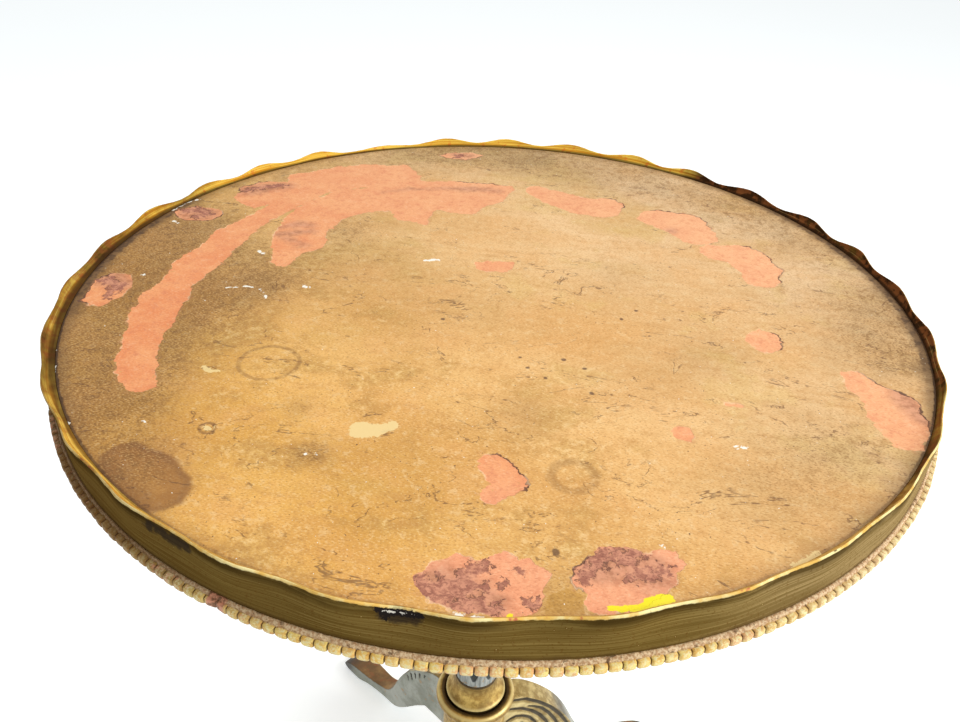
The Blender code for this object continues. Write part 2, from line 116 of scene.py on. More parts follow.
# ---------------- material graphs
class Graph:
    """A material's nodes, built with short calls. Sizes are millimetres on the table."""

    def __init__(self, name, metallic=0.0, specular=0.5):
        self.material = bpy.data.materials.new(name)
        self.material.use_nodes = True
        self.tree = self.material.node_tree
        self.shader = self.tree.nodes["Principled BSDF"]
        self.feed(self.shader, {"Metallic": metallic, "Specular IOR Level": specular})
        self.place = self.node("TexCoord").outputs["Object"]

    def feed(self, node, inputs):
        """Give a node's inputs their values, or links from other nodes."""
        for key, value in inputs.items():
            if isinstance(value, bpy.types.NodeSocket):
                self.tree.links.new(value, node.inputs[key])
            else:
                node.inputs[key].default_value = value

    def node(self, kind, *inputs, named=None, **settings):
        made = self.tree.nodes.new("ShaderNode" + kind)
        for name, value in settings.items():
            setattr(made, name, value)
        self.feed(made, named or dict(enumerate(inputs)))
        return made

    def math(self, operation, a, b=0.0):
        return self.node("Math", a, b, operation=operation).outputs[0]

    def add(self, a, b):
        return self.math("ADD", a, b)

    def times(self, a, b):
        return self.math("MULTIPLY", a, b)

    def flip(self, a):
        return self.math("SUBTRACT", 1.0, a)

    def total(self, *parts):
        """Sum of (value, weight) pairs."""
        result = self.times(*parts[0])
        for value, weight in parts[1:]:
            result = self.add(result, self.times(value, weight))
        return result

    def swing(self, noise, amount):
        """Noise about zero, times an amount."""
        return self.times(self.add(noise, -0.5), amount)

    def rough(self, value, noise, amount):
        """A value made uneven by noise."""
        return self.add(value, self.swing(noise, amount))

    def step(self, value, low, high, start=0.0, end=1.0):
        """start below low, end above high, smooth between."""
        made = self.node("MapRange", value, low, high, start, end,
                         interpolation_type="SMOOTHSTEP")
        return made.outputs[0]

    def band(self, value, wide, narrow, share=1.0):
        """share within narrow of zero, nothing beyond wide."""
        return self.step(self.math("ABSOLUTE", value), wide, narrow, 0.0, share)

    def mix(self, share, a, b):
        return self.node("Mix", named={0: share, 6: a, 7: b}, data_type="RGBA").outputs[2]

    def fade(self, value, low, high, first, second):
        """The first screen colour where the value is low, the second where it is high."""
        return self.mix(self.step(value, low, high), tone(*first), tone(*second))

    def coats(self, colour, *coats):
        """Lay on screen colours: (share, r, g, b) or (value, low, high, share, r, g, b)."""
        for *how, red, green, blue in coats:
            share = self.step(*how[:3], 0.0, how[3]) if len(how) > 1 else how[0]
            colour = self.mix(share, colour, tone(red, green, blue))
        return colour

    def field(self, name):
        """A number kept on the mesh's points."""
        return self.node("Attribute", attribute_name=name).outputs["Fac"]

    def shifted(self, seed, squeeze=(1, 1, 1), turn=0):
        """Place moved by the seed, so that each pattern falls somewhere else."""
        made = self.node("Mapping", named={
            "Vector": self.place, "Location": (0.37 * seed, 0.71 * seed, 0.53 * seed),
            "Rotation": (0, 0, math.radians(turn)), "Scale": squeeze})
        return made.outputs[0]

    def noise(self, size, seed, detail=3, rough=0.55, warp=0, squeeze=(1, 1, 1), turn=0):
        """Lumps about size across, mostly between 0.3 and 0.7."""
        made = self.node("TexNoise", named={
            "Vector": self.shifted(seed, squeeze, turn), "Scale": 0.5 / (size * MM),
            "Detail": detail, "Roughness": rough, "Distortion": warp})
        return made.outputs["Fac"]

    def vector(self, operation, *inputs):
        return self.node("VectorMath", *inputs, operation=operation).outputs

    def away(self, x, y, place=None):
        """Distance in the board's plane from a point."""
        flat = self.vector("MULTIPLY", place or self.place, (1 / MM, 1 / MM, 0))[0]
        return self.vector("DISTANCE", flat, (x, y, 0))["Value"]

    def warped(self, size, amount, seed):
        """Place pushed about by noise, which makes round spots ragged."""
        wave = self.node("TexNoise", named={
            "Vector": self.shifted(seed), "Scale": 0.5 / (size * MM), "Detail": 4})
        centred = self.vector("SUBTRACT", wave.outputs["Color"], (0.5, 0.5, 0.5))[0]
        return self.vector("MULTIPLY_ADD", centred, (amount * MM,) * 3, self.place)[0]

    def finish(self, colour, roughness, height=None, depth=1.0, strength=0.6):
        """Feed the shader; height 0..1 stands depth tall."""
        self.feed(self.shader, {"Base Color": colour, "Roughness": roughness})
        if height is not None:
            bump = self.node("Bump", named={
                "Strength": strength, "Distance": depth * MM, "Height": height})
            self.feed(self.shader, {"Normal": bump.outputs[0]})
        return self.material


# ---------------- wear laid out on the board
# Each stroke is a run of (x, y, radius) in millimetres; its outline is roughened in the paint.
BOLE = [
    # the long flaked band on the left
    [(-234, -190, 10), (-246, -170, 15), (-257, -145, 14), (-262, -125, 15), (-267, -106, 19),
     (-272, -76, 20), (-274, -46, 14), (-270, -7, 20), (-266, 23, 17), (-263, 55, 17),
     (-252, 92, 12), (-237, 132, 13), (-229, 167, 20), (-223, 191, 22)],
    # far patches
    [(13, 229, 13), (35, 216, 20), (60, 203, 22), (80, 201, 22), (88, 213, 16)],
    [(139, 191, 20), (164, 181, 28), (179, 157, 20)],
    [(196, 125, 16), (219, 122, 22), (233, 97, 20), (234, 78, 16)],
    # right side
    [(223, -30, 16)],
    [(289, -76, 13), (308, -101, 20), (310, -125, 20), (308, -145, 12)],
    [(156, -169, 8)],
    [(188, -127, 4), (195, -127, 4)],
    # middle of the near side
    [(27, -222, 8), (35, -234, 12), (46, -242, 9), (33, -256, 8)],
    # far left
    [(-321, 92, 15), (-307, 92, 15)],
]
# closed outlines of patches in the same millimetres
BOLE_AREAS = [
    [(-257, 207), (-236, 227), (-208, 246), (-177, 260), (-143, 266), (-126, 252), (-115, 225),
     (-140, 205), (-180, 188), (-220, 160), (-250, 172)],
    [(-209, 11), (-195, 4), (-185, 37), (-173, 48), (-178, 87), (-170, 114), (-151, 136),
     (-129, 141), (-119, 126), (-89, 119), (-85, 157), (-55, 152), (-43, 157), (-41, 173),
     (-21, 193), (-13, 228), (-18, 238), (-47, 236), (-80, 236), (-115, 228), (-150, 210),
     (-200, 175), (-219, 139), (-228, 103), (-224, 62)],
    [(-293, 137), (-297, 163), (-281, 180), (-255, 187), (-236, 176), (-232, 151), (-250, 132),
     (-265, 118), (-280, 125)],
    [(-2, -331), (8, -318), (21, -310), (34, -312), (47, -304), (62, -305), (76, -316),
     (74, -327), (72, -336), (68, -346), (56, -350), (34, -352), (18, -349), (6, -345),
     (0, -340)],
    [(85, -315), (93, -300), (102, -287), (114, -284), (127, -285), (146, -283), (151, -294),
     (146, -309), (128, -328), (104, -338), (97, -338), (95, -326), (87, -322)],
    [(-112, 306), (-96, 322), (-75, 325), (-64, 318), (-70, 308), (-80, 301), (-100, 301)],
    [(-28, 53), (-10, 58), (10, 61), (6, 46), (1, 40), (-16, 34), (-26, 42)],
    [(-338, -90), (-337, -71), (-341, -55), (-335, -36), (-318, -41), (-306, -58), (-310, -78),
     (-312, -95), (-326, -97)],
]
# (x, y, radius, half width, strength): rings left by glasses
GLASS_RINGS = [(-153.7, -144.3, 22.3, 2.8, 0.46), (81.9, -228.4, 14.4, 5.0, 0.34),
               (-166.6, -228.4, 5.2, 2.0, 0.7)]
OCHRE_AREAS = [[(74, -332), (84, -323), (94, -326), (97, -341), (75, -345)]]
MAUVE = [
    [(-150, 186, 1), (-129, 199, 3), (-87, 213, 3), (-52, 219, 5), (-30, 220, 6)],
    [(-227, 80, 4), (-214, 90, 6), (-198, 91, 5)],
    [(-222, 66, 4), (-205, 74, 5), (-194, 80, 4)],
    [(-214, 60, 3), (-192, 51, 5)],
    [(-321, 92, 14), (-307, 92, 14)],
    [(-330, -50, 12), (-318, -56, 10)],
    [(-290, 154, 10), (-277, 166, 12), (-254, 176, 10)],
    [(-95, 314, 8), (-78, 314, 7)],
    [(154, 162, 7)],
    [(320, -86, 10), (327, -116, 9)],
    [(16, -334, 16), (34, -340, 14), (48, -342, 8)],
    [(98, -306, 10), (116, -296, 12), (134, -304, 13)],
]
REDDISH = [
    [(4, -336, 6), (14, -339, 9), (26, -334, 10), (30, -322, 6), (37, -314, 3)],
    [(30, -346, 8), (48, -346, 5)],
    [(68, -338, 5)],
    [(40, -332, 2.6)],
    [(49, -327, 2.4)],
    [(57, -317, 2.6)],
    [(93, -314, 4), (99, -304, 5), (106, -291, 5)],
    [(109, -288, 4), (118, -294, 7), (124, -288, 5)],
    [(121, -309, 4), (131, -303, 5), (141, -300, 3)],
    [(-290, 157, 3), (-277, 168, 4), (-258, 178, 4)],
    [(-328, 96, 4), (-314, 100, 5), (-303, 92, 4), (-313, 84, 3)],
    [(-333, -52, 6), (-320, -58, 6), (-318, -78, 3)],
    [(-90, 310, 5)],
]
EDGE_SHADE = [
    # where the paint's broken edge stands proud: a painted shadow line along it
    [(60, 243, 6), (72, 246, 6), (85, 240, 6), (98, 230, 7), (104, 213, 6)],
    [(139, 213, 7), (161, 209, 7), (184, 197, 7), (196, 184, 7)],
    [(228, 142, 7), (238, 127, 7), (250, 104, 7), (254, 82, 7)],
    [(33, -218, 6), (40, -224, 6), (52, -233, 6), (56, -244, 5)],
    [(238, -36, 6), (236, -21, 6)],
    [(-78, 216, 7), (-65, 239, 8), (-29, 241, 6)],
    [(-340, -46, 7), (-336, -91, 7)],
    [(-328, 110, 10), (-341, 92, 10), (-328, 75, 10), (-301, 75, 9), (-292, 92, 9)],
    [(-284, 181, 8), (-291, 157, 8)],
    [(-110, 308, 6), (-78, 302, 6), (-65, 312, 6)],
    [(298, -66, 7), (323, -91, 8), (330, -120, 8)],
    [(92, -304, 7), (88, -321, 6)],
]
CREAM = [
    [(-64, -209, 9), (-56, -208, 7), (-44, -200, 4)],
    [(214, -283, 2.0), (222, -277, 2.6), (230, -269, 2.4)],
    [(-198, -160, 2.0), (-192, -164, 2.4), (-187, -162, 1.6)],
    [(-168, -229, 2.6), (-164, -227, 2.2)],
]
YELLOW = [
    [(110, -333, 2.2), (126, -330, 2.2), (131, -325, 3.6), (138, -321, 4.2), (143, -320, 2.4)],
    [(56, -349, 2.2)],
]
WHITE = [
    [(-228, -43, 0.9), (-213, -37, 1.0), (-201, -39, 0.9), (-190, -52, 0.8)],
    [(-166, -25, 1.8), (-161, -27, 1.8)],
    [(-73, 44, 1.8), (-63, 49, 2.4)],
    [(-227, 29, 1.6), (-221, 24, 1.5)],
    [(-307, -38, 2.0)],
    [(-211, -230, 1.8)],
    [(137, -278, 0.6), (142, -284, 0.8)],
    [(24, -352.8, 1.0), (56, -352.4, 1.1)],
    [(191, -175, 2.0), (197, -175, 1.6)],
    [(-93, -241, 0.6), (-86, -239, 0.6)],
    [(-331, -139, 2.6), (-327, -147, 2.6)],
    [(-323, -157, 2.4)],
    [(-306, -183, 2.6), (-303, -188, 2.0)],
    [(-296, -202, 2.4)],
    [(-262, -242, 2.4)],
    [(-341, 92, 1.4), (-336, 112, 1.4), (-326, 124, 1.2)],
    [(-330, 70, 1.2), (-322, 66, 1.2)],
]
BLOTCH = [
    [(-205, -268, 15), (-190, -281, 24), (-172, -292, 20)],
]
PITS = [(65, -93, 1.9), (82, -102, 1.5), (54, -121, 1.4), (89, -133, 1.7), (39, -110, 1.3),
        (-38, -54, 1.6), (-33, -26, 1.2), (108, -22, 1.4), (120, -5, 1.5), (77, -297, 2.2),
        (31, -97, 1.1)]
# (azimuth, share): grime and painted shade along the board's edge against the wall
EDGE_GRIME_AND_SHADE = [(0, 0.8), (30, 0.82), (48, 0.72), (62, 0.45), (120, 0.3), (148, 0.45),
              (165, 0.8), (190, 0.8), (206, 0.5), (236, 0.3), (268, 0.12), (300, 0.12),
              (330, 0.3), (345, 0.6), (360, 0.8)]
# (x, y, reach in millimetres, strength): soft brown darkening of the old paint
STAINS = [
    (-340, -26, 66, 0.8), (-326, -140, 60, 0.72), (-256, -206, 32, 0.62), (-336, 53, 50, 0.42),
    (-296, 211, 60, 0.22), (-227, 281, 60, 0.22), (-292, -190, 40, 0.3), (-200, -275, 26, 0.45),
    (-128, 320, 50, 0.34), (-19, 335, 40, 0.3),
    (-320, 10, 40, 0.25), (-232, -66, 30, 0.22), (-237, -116, 45, 0.14), (-215, -5, 40, 0.18),
    (-91, -240, 8, 0.26), (-170, 95, 30, 0.22), (-200, -30, 18, 0.2),
    (-113, -195, 9, 0.25), (42, -170, 16, 0.22), (-90, -239, 12, 0.22),
    (60, 320, 60, 0.28), (159, 290, 60, 0.28), (238, 231, 50, 0.3), (298, 162, 45, 0.32),
    (337, 53, 40, 0.4), (342, -26, 34, 0.3), (149, 82, 60, 0.08), (-59, 112, 90, 0.08),
    (179, -66, 30, 0.16), (95, 53, 26, 0.12), (-148, 33, 60, 0.12), (85, -333, 22, 0.28),
    (248, 53, 24, 0.14), (120, -116, 26, 0.12), (-19, -46, 40, 0.06), (268, -165, 46, 0.3),
    (196, -222, 40, 0.16), (300, -30, 40, 0.2), (-19, 338, 30, 0.3), (-90, 330, 30, 0.25),
]


def stroke_field(points, strokes):
    """How far each point is inside the nearest stroke, in millimetres; negative outside."""
    best = np.full(len(points), -40.0)
    for stroke in strokes:
        rows = np.array(stroke, float)
        if len(rows) == 1:
            rows = np.vstack([rows, rows])
        for start, end in zip(rows, rows[1:]):
            along = end[:2] - start[:2]
            share = ((points - start[:2]) @ along) / (along @ along + 1e-9)
            share = np.clip(share, 0.0, 1.0)
            gap = points - start[:2] - share[:, None] * along
            radius = start[2] + share * (end[2] - start[2])
            best = np.maximum(best, radius - np.hypot(gap[:, 0], gap[:, 1]))
    return best


def area_field(points, areas):
    """How far each point is inside the nearest closed outline, in millimetres."""
    best = np.full(len(points), -40.0)
    for area in areas:
        corners = np.array(area, float)
        edge_gap = np.full(len(points), 1e3)
        crossings = np.zeros(len(points), int)
        for start, end in zip(corners, np.roll(corners, -1, 0)):
            along = end - start
            share = np.clip(((points - start) @ along) / (along @ along), 0.0, 1.0)
            gap = points - start - share[:, None] * along
            edge_gap = np.minimum(edge_gap, np.hypot(gap[:, 0], gap[:, 1]))
            between = (start[1] > points[:, 1]) != (end[1] > points[:, 1])
            rise = along[1] if along[1] else 1e-9
            cut = start[0] + (points[:, 1] - start[1]) * along[0] / rise
            crossings += between & (points[:, 0] < cut)
        best = np.maximum(best, np.where(crossings % 2 == 1, edge_gap, -edge_gap))
    return best


def soft_field(points, spots):
    """Sum of soft round spots of (x, y, reach, strength)."""
    total = np.zeros(len(points))
    for x, y, reach, strength in spots:
        square = (points[:, 0] - x) ** 2 + (points[:, 1] - y) ** 2
        total += strength * np.exp(-square / (2 * reach * reach))
    return total


# ---------------- board
def disc_points(cells):
    """A square grid pressed into a disc of radius 1, so that its cells stay even."""
    line = np.linspace(-1.0, 1.0, cells + 1)
    a, b = (v.ravel() for v in np.meshgrid(line, line, indexing="ij"))
    wide = np.abs(a) > np.abs(b)
    safe_a = np.where(a == 0, 1.0, a)
    safe_b = np.where(b == 0, 1.0, b)
    radius = np.where(wide, a, b)
    angle = np.where(wide, math.pi / 4 * b / safe_a, math.pi / 2 - math.pi / 4 * a / safe_b)
    return radius * np.cos(angle), radius * np.sin(angle)


def grid_faces(rows, columns, wrap_rows=False, wrap_columns=False):
    """Quads of a grid of vertices; row i, column j is vertex i * columns + j."""
    row = np.arange(rows if wrap_rows else rows - 1)
    column = np.arange(columns if wrap_columns else columns - 1)
    i, j = (v.ravel() for v in np.meshgrid(row, column, indexing="ij"))
    k, l = (i + 1) % rows, (j + 1) % columns
    return np.stack([i * columns + j, k * columns + j, k * columns + l, i * columns + l], 1)


def make_mesh(name, points, faces, smooth_degrees=40.0):
    """A mesh with outward faces, smooth apart from its sharp edges."""
    mesh = bpy.data.meshes.new(name)
    mesh.from_pydata([tuple(p) for p in points], [], [tuple(f) for f in faces])
    bm = bmesh.new()
    bm.from_mesh(mesh)
    bmesh.ops.recalc_face_normals(bm, faces=bm.faces)
    bm.to_mesh(mesh)
    bm.free()
    mesh.shade_smooth()
    mesh.set_sharp_from_angle(angle=math.radians(smooth_degrees))
    return mesh


def set_fields(mesh, **fields):
    """Keep numbers on the mesh's points, for its material."""
    for name, values in fields.items():
        made = mesh.attributes.new(name, "FLOAT", "POINT")
        made.data.foreach_set("value", np.asarray(values, np.float32))


def place_piece(name, mesh, material, slot, *nodes):
    """Show a piece in place of CAD nodes, riding on the table."""
    obj = bpy.data.objects.new(name, mesh)
    bpy.context.scene.collection.objects.link(obj)
    mesh.materials.append(material)
    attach(obj, "root")
    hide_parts(*nodes)


def full_circle(steps, start=0):
    """Angles of this many even steps round the axis; the first stands start steps in."""
    return (np.arange(steps) + start) * 2 * math.pi / steps


def circle(angle, radius, height):
    """Points round the axis; radius and height are one value, or one for each angle."""
    radius, height = (np.broadcast_to(v, len(angle)) for v in (radius, height))
    return np.stack([radius * np.cos(angle), radius * np.sin(angle), height], 1)


def azimuth_of(x, y):
    """Degrees from X, 0 to 360."""
    return np.degrees(np.arctan2(y, x)) % 360


def make_board(material):
    cells = 280
    outermost = 0.9995
    flake_depth, swell_depth, edge_drop = 0.22 * MM, 0.12 * MM, 0.8 * MM
    x, y = disc_points(cells)
    flat = np.stack([x, y], 1) * BOARD_RADIUS / MM
    bole = np.maximum(stroke_field(flat, BOLE), area_field(flat, BOLE_AREAS))
    flaked = ease(bole, -1.5, 1.5) * flake_depth
    swell = swell_depth * (np.sin(flat[:, 0] / 57 + 1.0) * np.cos(flat[:, 1] / 71 - 0.4) - 1)
    drop = np.where(np.hypot(x, y) > outermost, edge_drop, 0.0)
    top = np.stack([x * BOARD_RADIUS, y * BOARD_RADIUS, BOARD_TOP - flaked + swell - drop], 1)
    side = cells + 1
    line = np.arange(side)
    loop = np.concatenate([line * side, cells * side + line[1:], (cells - line[1:]) * side + cells,
                           (cells - line[1:-1])])
    bottom = top[loop].copy()
    bottom[:, 2] = BOARD_BOTTOM
    under = len(top) + np.arange(len(loop))
    faces = [tuple(f) for f in grid_faces(side, side)]
    faces += zip(loop, np.roll(loop, -1), np.roll(under, -1), under)
    faces.append(tuple(under))
    mesh = make_mesh("painted_board", np.vstack([top, bottom]), faces)
    marks = {"mauve": MAUVE, "reddish": REDDISH, "edge_shade": EDGE_SHADE, "cream": CREAM,
             "yellow": YELLOW, "white": WHITE, "blotch": BLOTCH}
    fields = {name: stroke_field(flat, strokes) for name, strokes in marks.items()}
    fields["bole"] = bole
    fields["ochre"] = area_field(flat, OCHRE_AREAS)
    fields["stain"] = soft_field(flat, STAINS)
    fields["grime_and_shade"] = lookup(azimuth_of(x, y), EDGE_GRIME_AND_SHADE)
    fields["near_edge"] = ease(-flat[:, 1], 220, 290) * 0.55
    # painted sheen: paint, bole and dirt turn paler and greyer towards the far right
    fields["painted_sheen_far_right"] = np.clip(0.5 + (flat[:, 0] + flat[:, 1]) / 700, 0, 1)
    set_fields(mesh, **{name: np.concatenate([v, v[loop]]) for name, v in fields.items()})
    place_piece("painted_board", mesh, material, "panel", "top_panel")


class BoardGraph(Graph):
    """The board's material, with the noises and fields that its coats share."""

    def __init__(self):
        super().__init__("aged_gold_paint", specular=0.35)
        self.mottle = self.noise(3, 7, 4, 0.62)
        self.grain = self.noise(0.55, 8, 2, 0.6, squeeze=(0.55, 1, 1), turn=BRUSHED_AT)
        self.blotch = self.noise(12, 9, 5, 0.6)
        self.lumps = self.noise(2.6, 19, 5, 0.66, 0.5)
        # paler towards the far right: painted sheen
        self.painted_sheen_far_right = self.field("painted_sheen_far_right")
        self.torn_place = self.warped(5, 3.5, 11)
        ragged = self.rough(self.swing(self.noise(1, 3, 2), 2.2), self.noise(3, 2), 5.0)
        ragged = self.rough(ragged, self.noise(9, 1, 2), 14.0)
        self.bole_edge = self.add(self.field("bole"), ragged)


def old_paint(g):
    """The paint itself: soft clouds, faint brushing and grain, and a painted sheen that makes it
    paler away from the near left.
    """
    cloud = g.noise(60, 4)
    warm = g.noise(26, 22, 4, 0.6)
    streak = g.noise(3.2, 5, 5, 0.65, squeeze=(0.22, 1, 1), turn=BRUSHED_AT)
    tint = g.noise(45, 25, squeeze=(0.5, 1, 1), turn=BRUSHED_AT)
    # painted sheen: the paint towards the far right is paler and greyer than at the near left
    near_paint = g.fade(cloud, 0.36, 0.64, (220, 160, 66), (242, 184, 92))
    far_paint = g.fade(cloud, 0.36, 0.64, (238, 193, 138), (250, 210, 161))
    murk = g.times(g.step(warm, 0.5, 0.38, 0.0, 0.5), g.step(g.painted_sheen_far_right, 0.6, 0.2))
    return g.coats(
        g.mix(g.painted_sheen_far_right, near_paint, far_paint),
        (warm, 0.5, 0.66, 0.3, 248, 186, 116), (warm, 0.46, 0.34, 0.34, 232, 196, 116),
        (streak, 0.48, 0.7, 0.36, 204, 146, 76),
        (tint, 0.52, 0.66, 0.3, 216, 176, 92), (tint, 0.46, 0.34, 0.3, 230, 166, 88),
        (g.mottle, 0.5, 0.7, 0.36, 204, 146, 76),
        (g.times(murk, g.step(g.mottle, 0.36, 0.56)), 192, 136, 60),
        (g.mottle, 0.46, 0.32, 0.28, 255, 224, 170),
        (g.grain, 0.51, 0.7, 0.62, 184, 128, 64), (g.grain, 0.46, 0.28, 0.5, 255, 224, 164))


def stained(g, paint):
    """Old dirt in large soft stains, and one blotch with a dark outline."""
    stain = g.field("stain")
    dirty = g.times(stain, g.step(g.blotch, 0.25, 0.7, 0.72, 1.25))
    # the dirt too is paler under the painted sheen towards the far right
    old_dirt = g.fade(g.painted_sheen_far_right, 0.02, 0.32, (132, 86, 34), (142, 112, 66))
    paint = g.mix(g.math("MINIMUM", dirty, 0.62), paint, old_dirt)
    spot = g.rough(g.field("blotch"), g.noise(9, 23, 4), 8.0)
    in_spot = g.step(g.rough(spot, g.blotch, 30.0), 26.0, 6.0, 0.62, 1.0)
    spot_ring = g.band(g.add(spot, -2.4), 4.6, 0.6, 0.3)
    dirt_grain = g.step(stain, 0.1, 0.5, 0.0, 0.45)
    return g.coats(
        paint, (g.rough(g.field("ochre"), g.mottle, 4.0), -0.4, 0.6, 0.6, 196, 142, 50),
        (g.times(g.step(spot, -3.0, 2.0, 0.0, 0.72), in_spot), 148, 94, 42),
        (g.times(spot_ring, g.step(g.blotch, 0.36, 0.56, 0.35, 1.0)), 112, 72, 40),
        (g.times(g.step(g.mottle, 0.49, 0.62), dirt_grain), 134, 94, 44),
        (g.times(g.step(g.grain, 0.5, 0.64), dirt_grain), 110, 74, 34),
        (g.times(g.step(g.grain, 0.47, 0.34), dirt_grain), 232, 188, 124))


def grime_and_shade_at_wall(g, paint):
    """Grime and painted shade against the wall: a soft dark rim, a dark strip, and a dark line in
    the seam.
    """
    reach = g.away(0, 0)
    grime_and_shade = g.field("grime_and_shade")
    # a soft dark rim near the wall: grime and painted shade
    rim_dirt_and_shade = g.step(g.rough(reach, g.blotch, 24.0), 338, 353)
    paint = g.coats(paint, (g.times(rim_dirt_and_shade, grime_and_shade), 112, 80, 42))
    # a dark strip next to the wall: grime and painted shade
    strip = g.step(g.rough(reach, g.mottle, 9.0), 346.0, 348.5)
    strip = g.times(strip, g.step(grime_and_shade, 0.6, 0.8, 0.0, 0.7))
    paint = g.mix(strip, paint, g.fade(g.mottle, 0.44, 0.58, (116, 84, 50), (66, 42, 24)))
    # a dark line in the seam: grime and painted shade
    seam = g.step(g.rough(reach, g.mottle, 3.0), 352.4, 353.6, 0.0, 0.9)
    seam = g.times(seam, g.step(grime_and_shade, 0.14, 0.5, 0.25, 1.0))
    return g.coats(paint, (seam, 66, 40, 18))


def ringed(g, paint):
    """Rings left by glasses."""
    for x, y, radius, half, strength in GLASS_RINGS:
        mark = g.band(g.add(g.away(x, y, g.torn_place), -radius), half, half * 0.3)
        mark = g.times(g.times(mark, strength), g.step(g.mottle, 0.34, 0.56, 0.45, 1.0))
        paint = g.coats(paint, (mark, 132, 90, 46))
    return paint


def fine_cracks(g):
    """Thin bent lines, broken up by two noises."""
    bend = g.noise(20, 12, 5, 0.6, 0.6, squeeze=(0.5, 1, 1), turn=35)
    return g.times(g.band(g.add(bend, -0.5), 0.01, 0.002),
                   g.times(g.step(g.noise(24, 13), 0.45, 0.56),
                           g.step(g.noise(4, 24, 2), 0.42, 0.54)))


def specked(g, paint, crack):
    """Fine cracks, dark pits and pale flecks."""
    pit = g.times(g.step(g.noise(1, 15, 1), 0.71, 0.77),
                  g.step(g.noise(24, 14, 2), 0.45, 0.62, 0.45, 1.0))
    pits = [(g.away(x, y, g.torn_place), radius + 0.9, radius - 0.5, 0.8, 96, 62, 40)
            for x, y, radius in PITS]
    return g.coats(paint, (g.times(crack, 0.7), 116, 76, 40), (pit, 104, 70, 42), *pits,
                   (g.noise(1.3, 16, 1), 0.765, 0.8, 1.0, 255, 244, 224))


def bole_ground(g):
    """Salmon bole with rubbed and reddish places and last crumbs of gold; also the red's share."""
    dusty = g.noise(14, 17, 5, 0.6)
    crumb = g.times(g.step(g.noise(1.6, 18), 0.66, 0.7), g.step(g.bole_edge, 9.0, 0.0))
    ground = g.coats(
        g.fade(dusty, 0.36, 0.64, (240, 149, 94), (248, 168, 110)),
        # paler bole towards the far right: painted sheen
        (g.times(g.painted_sheen_far_right, 0.55), 246, 194, 148), (g.field("near_edge"), 248, 172, 134),
        (g.mottle, 0.5, 0.68, 0.5, 222, 138, 98), (g.mottle, 0.44, 0.3, 0.4, 255, 196, 150),
        (g.grain, 0.52, 0.7, 0.5, 206, 128, 92), (g.grain, 0.45, 0.28, 0.4, 255, 206, 164),
        (crumb, 222, 168, 104))
    veil = g.step(g.rough(g.field("mauve"), dusty, 26.0), -7.0, 7.0, 0.0, 0.62)
    ground = g.mix(veil, ground, g.fade(g.mottle, 0.4, 0.62, (208, 146, 116), (158, 108, 82)))
    red_edge = g.rough(g.field("reddish"), g.lumps, 30.0)
    red = g.step(red_edge, -1.6, 2.2, 0.0, 0.92)
    red_tone = g.coats(g.fade(g.lumps, 0.42, 0.62, (216, 148, 118), (164, 102, 82)),
                       (g.grain, 0.5, 0.66, 0.6, 112, 66, 52))
    ground = g.mix(g.times(red, g.step(g.mottle, 0.26, 0.5, 0.45, 1.0)), ground, red_tone)
    red_line = g.times(g.band(red_edge, 1.5, 0.4), g.step(g.mottle, 0.46, 0.54, 0.0, 0.75))
    return g.coats(ground, (red_line, 92, 54, 42)), red


def chipped(g, colour, bole):
    """The paint's broken edges with a painted shadow line and a painted highlight line, chips down
    to the white ground, and one smear of yellow.
    """
    # painted shadow: a dark line along the proud edge of the paint
    line = g.times(g.band(g.bole_edge, 1.0, 0.4), g.step(g.field("edge_shade"), -4.0, 1.0))
    # painted highlight: a pale line along the paint's broken edge
    pale = g.times(g.band(g.bole_edge, 0.8, 0.3), g.step(g.noise(7, 20, 2), 0.5, 0.62, 0, 0.6))
    rubbed = g.times(g.step(g.math("SUBTRACT", 0.0, g.bole_edge), 4.5, 0.0),
                     g.step(g.mottle, 0.48, 0.62, 0.0, 0.35))
    torn = g.swing(g.noise(1.6, 21), 4.0)
    white = g.add(g.field("white"), g.add(torn, g.swing(g.noise(2.4, 26, 2), 6.0)))
    return g.coats(
        colour, (g.times(line, 0.85), 84, 48, 34), (pale, 252, 206, 160),
        (g.times(rubbed, g.flip(bole)), 214, 148, 98),
        (g.add(g.field("cream"), g.rough(torn, g.lumps, 10.0)), -0.3, 0.5, 0.9, 246, 216, 150),
        (g.add(g.field("yellow"), torn), -0.2, 0.4, 0.97, 255, 238, 30),
        (white, -0.3, 0.5, 1.0, 255, 250, 236))


def board_material():
    """Ochre gold paint over salmon bole on a wooden board, stained, scratched and flaked."""
    g = BoardGraph()
    crack = fine_cracks(g)
    paint = specked(g, ringed(g, grime_and_shade_at_wall(g, stained(g, old_paint(g)))), crack)
    ground, red = bole_ground(g)
    bole = g.step(g.bole_edge, -0.25, 0.25)
    colour = chipped(g, g.mix(bole, paint, ground), bole)
    height = g.total((bole, -0.5), (g.grain, 0.18), (g.mottle, 0.16), (red, 0.14), (crack, -0.25))
    gloss = g.mix(bole, (0.52, 0.52, 0.52, 1), (0.78, 0.78, 0.78, 1))
    return g.finish(colour, g.rough(gloss, g.mottle, 0.25), height, 0.55, 0.75)


# ---------------- gallery wall
# (millimetres round the wall from its nearest point, millimetres above its foot, radius)
WALL_CHIPS = [[(-15, 29.5, 2.4), (-8, 28, 3.2), (0, 28.5, 3.0), (9, 29, 2.4)],
              [(-11, 25, 2.0), (-11, 22, 1.4)]]
WALL_SMOKE = [[(-170, 27, 4), (-154, 26, 5), (-138, 27, 4)], [(-13, 25, 4), (6, 26, 4)]]
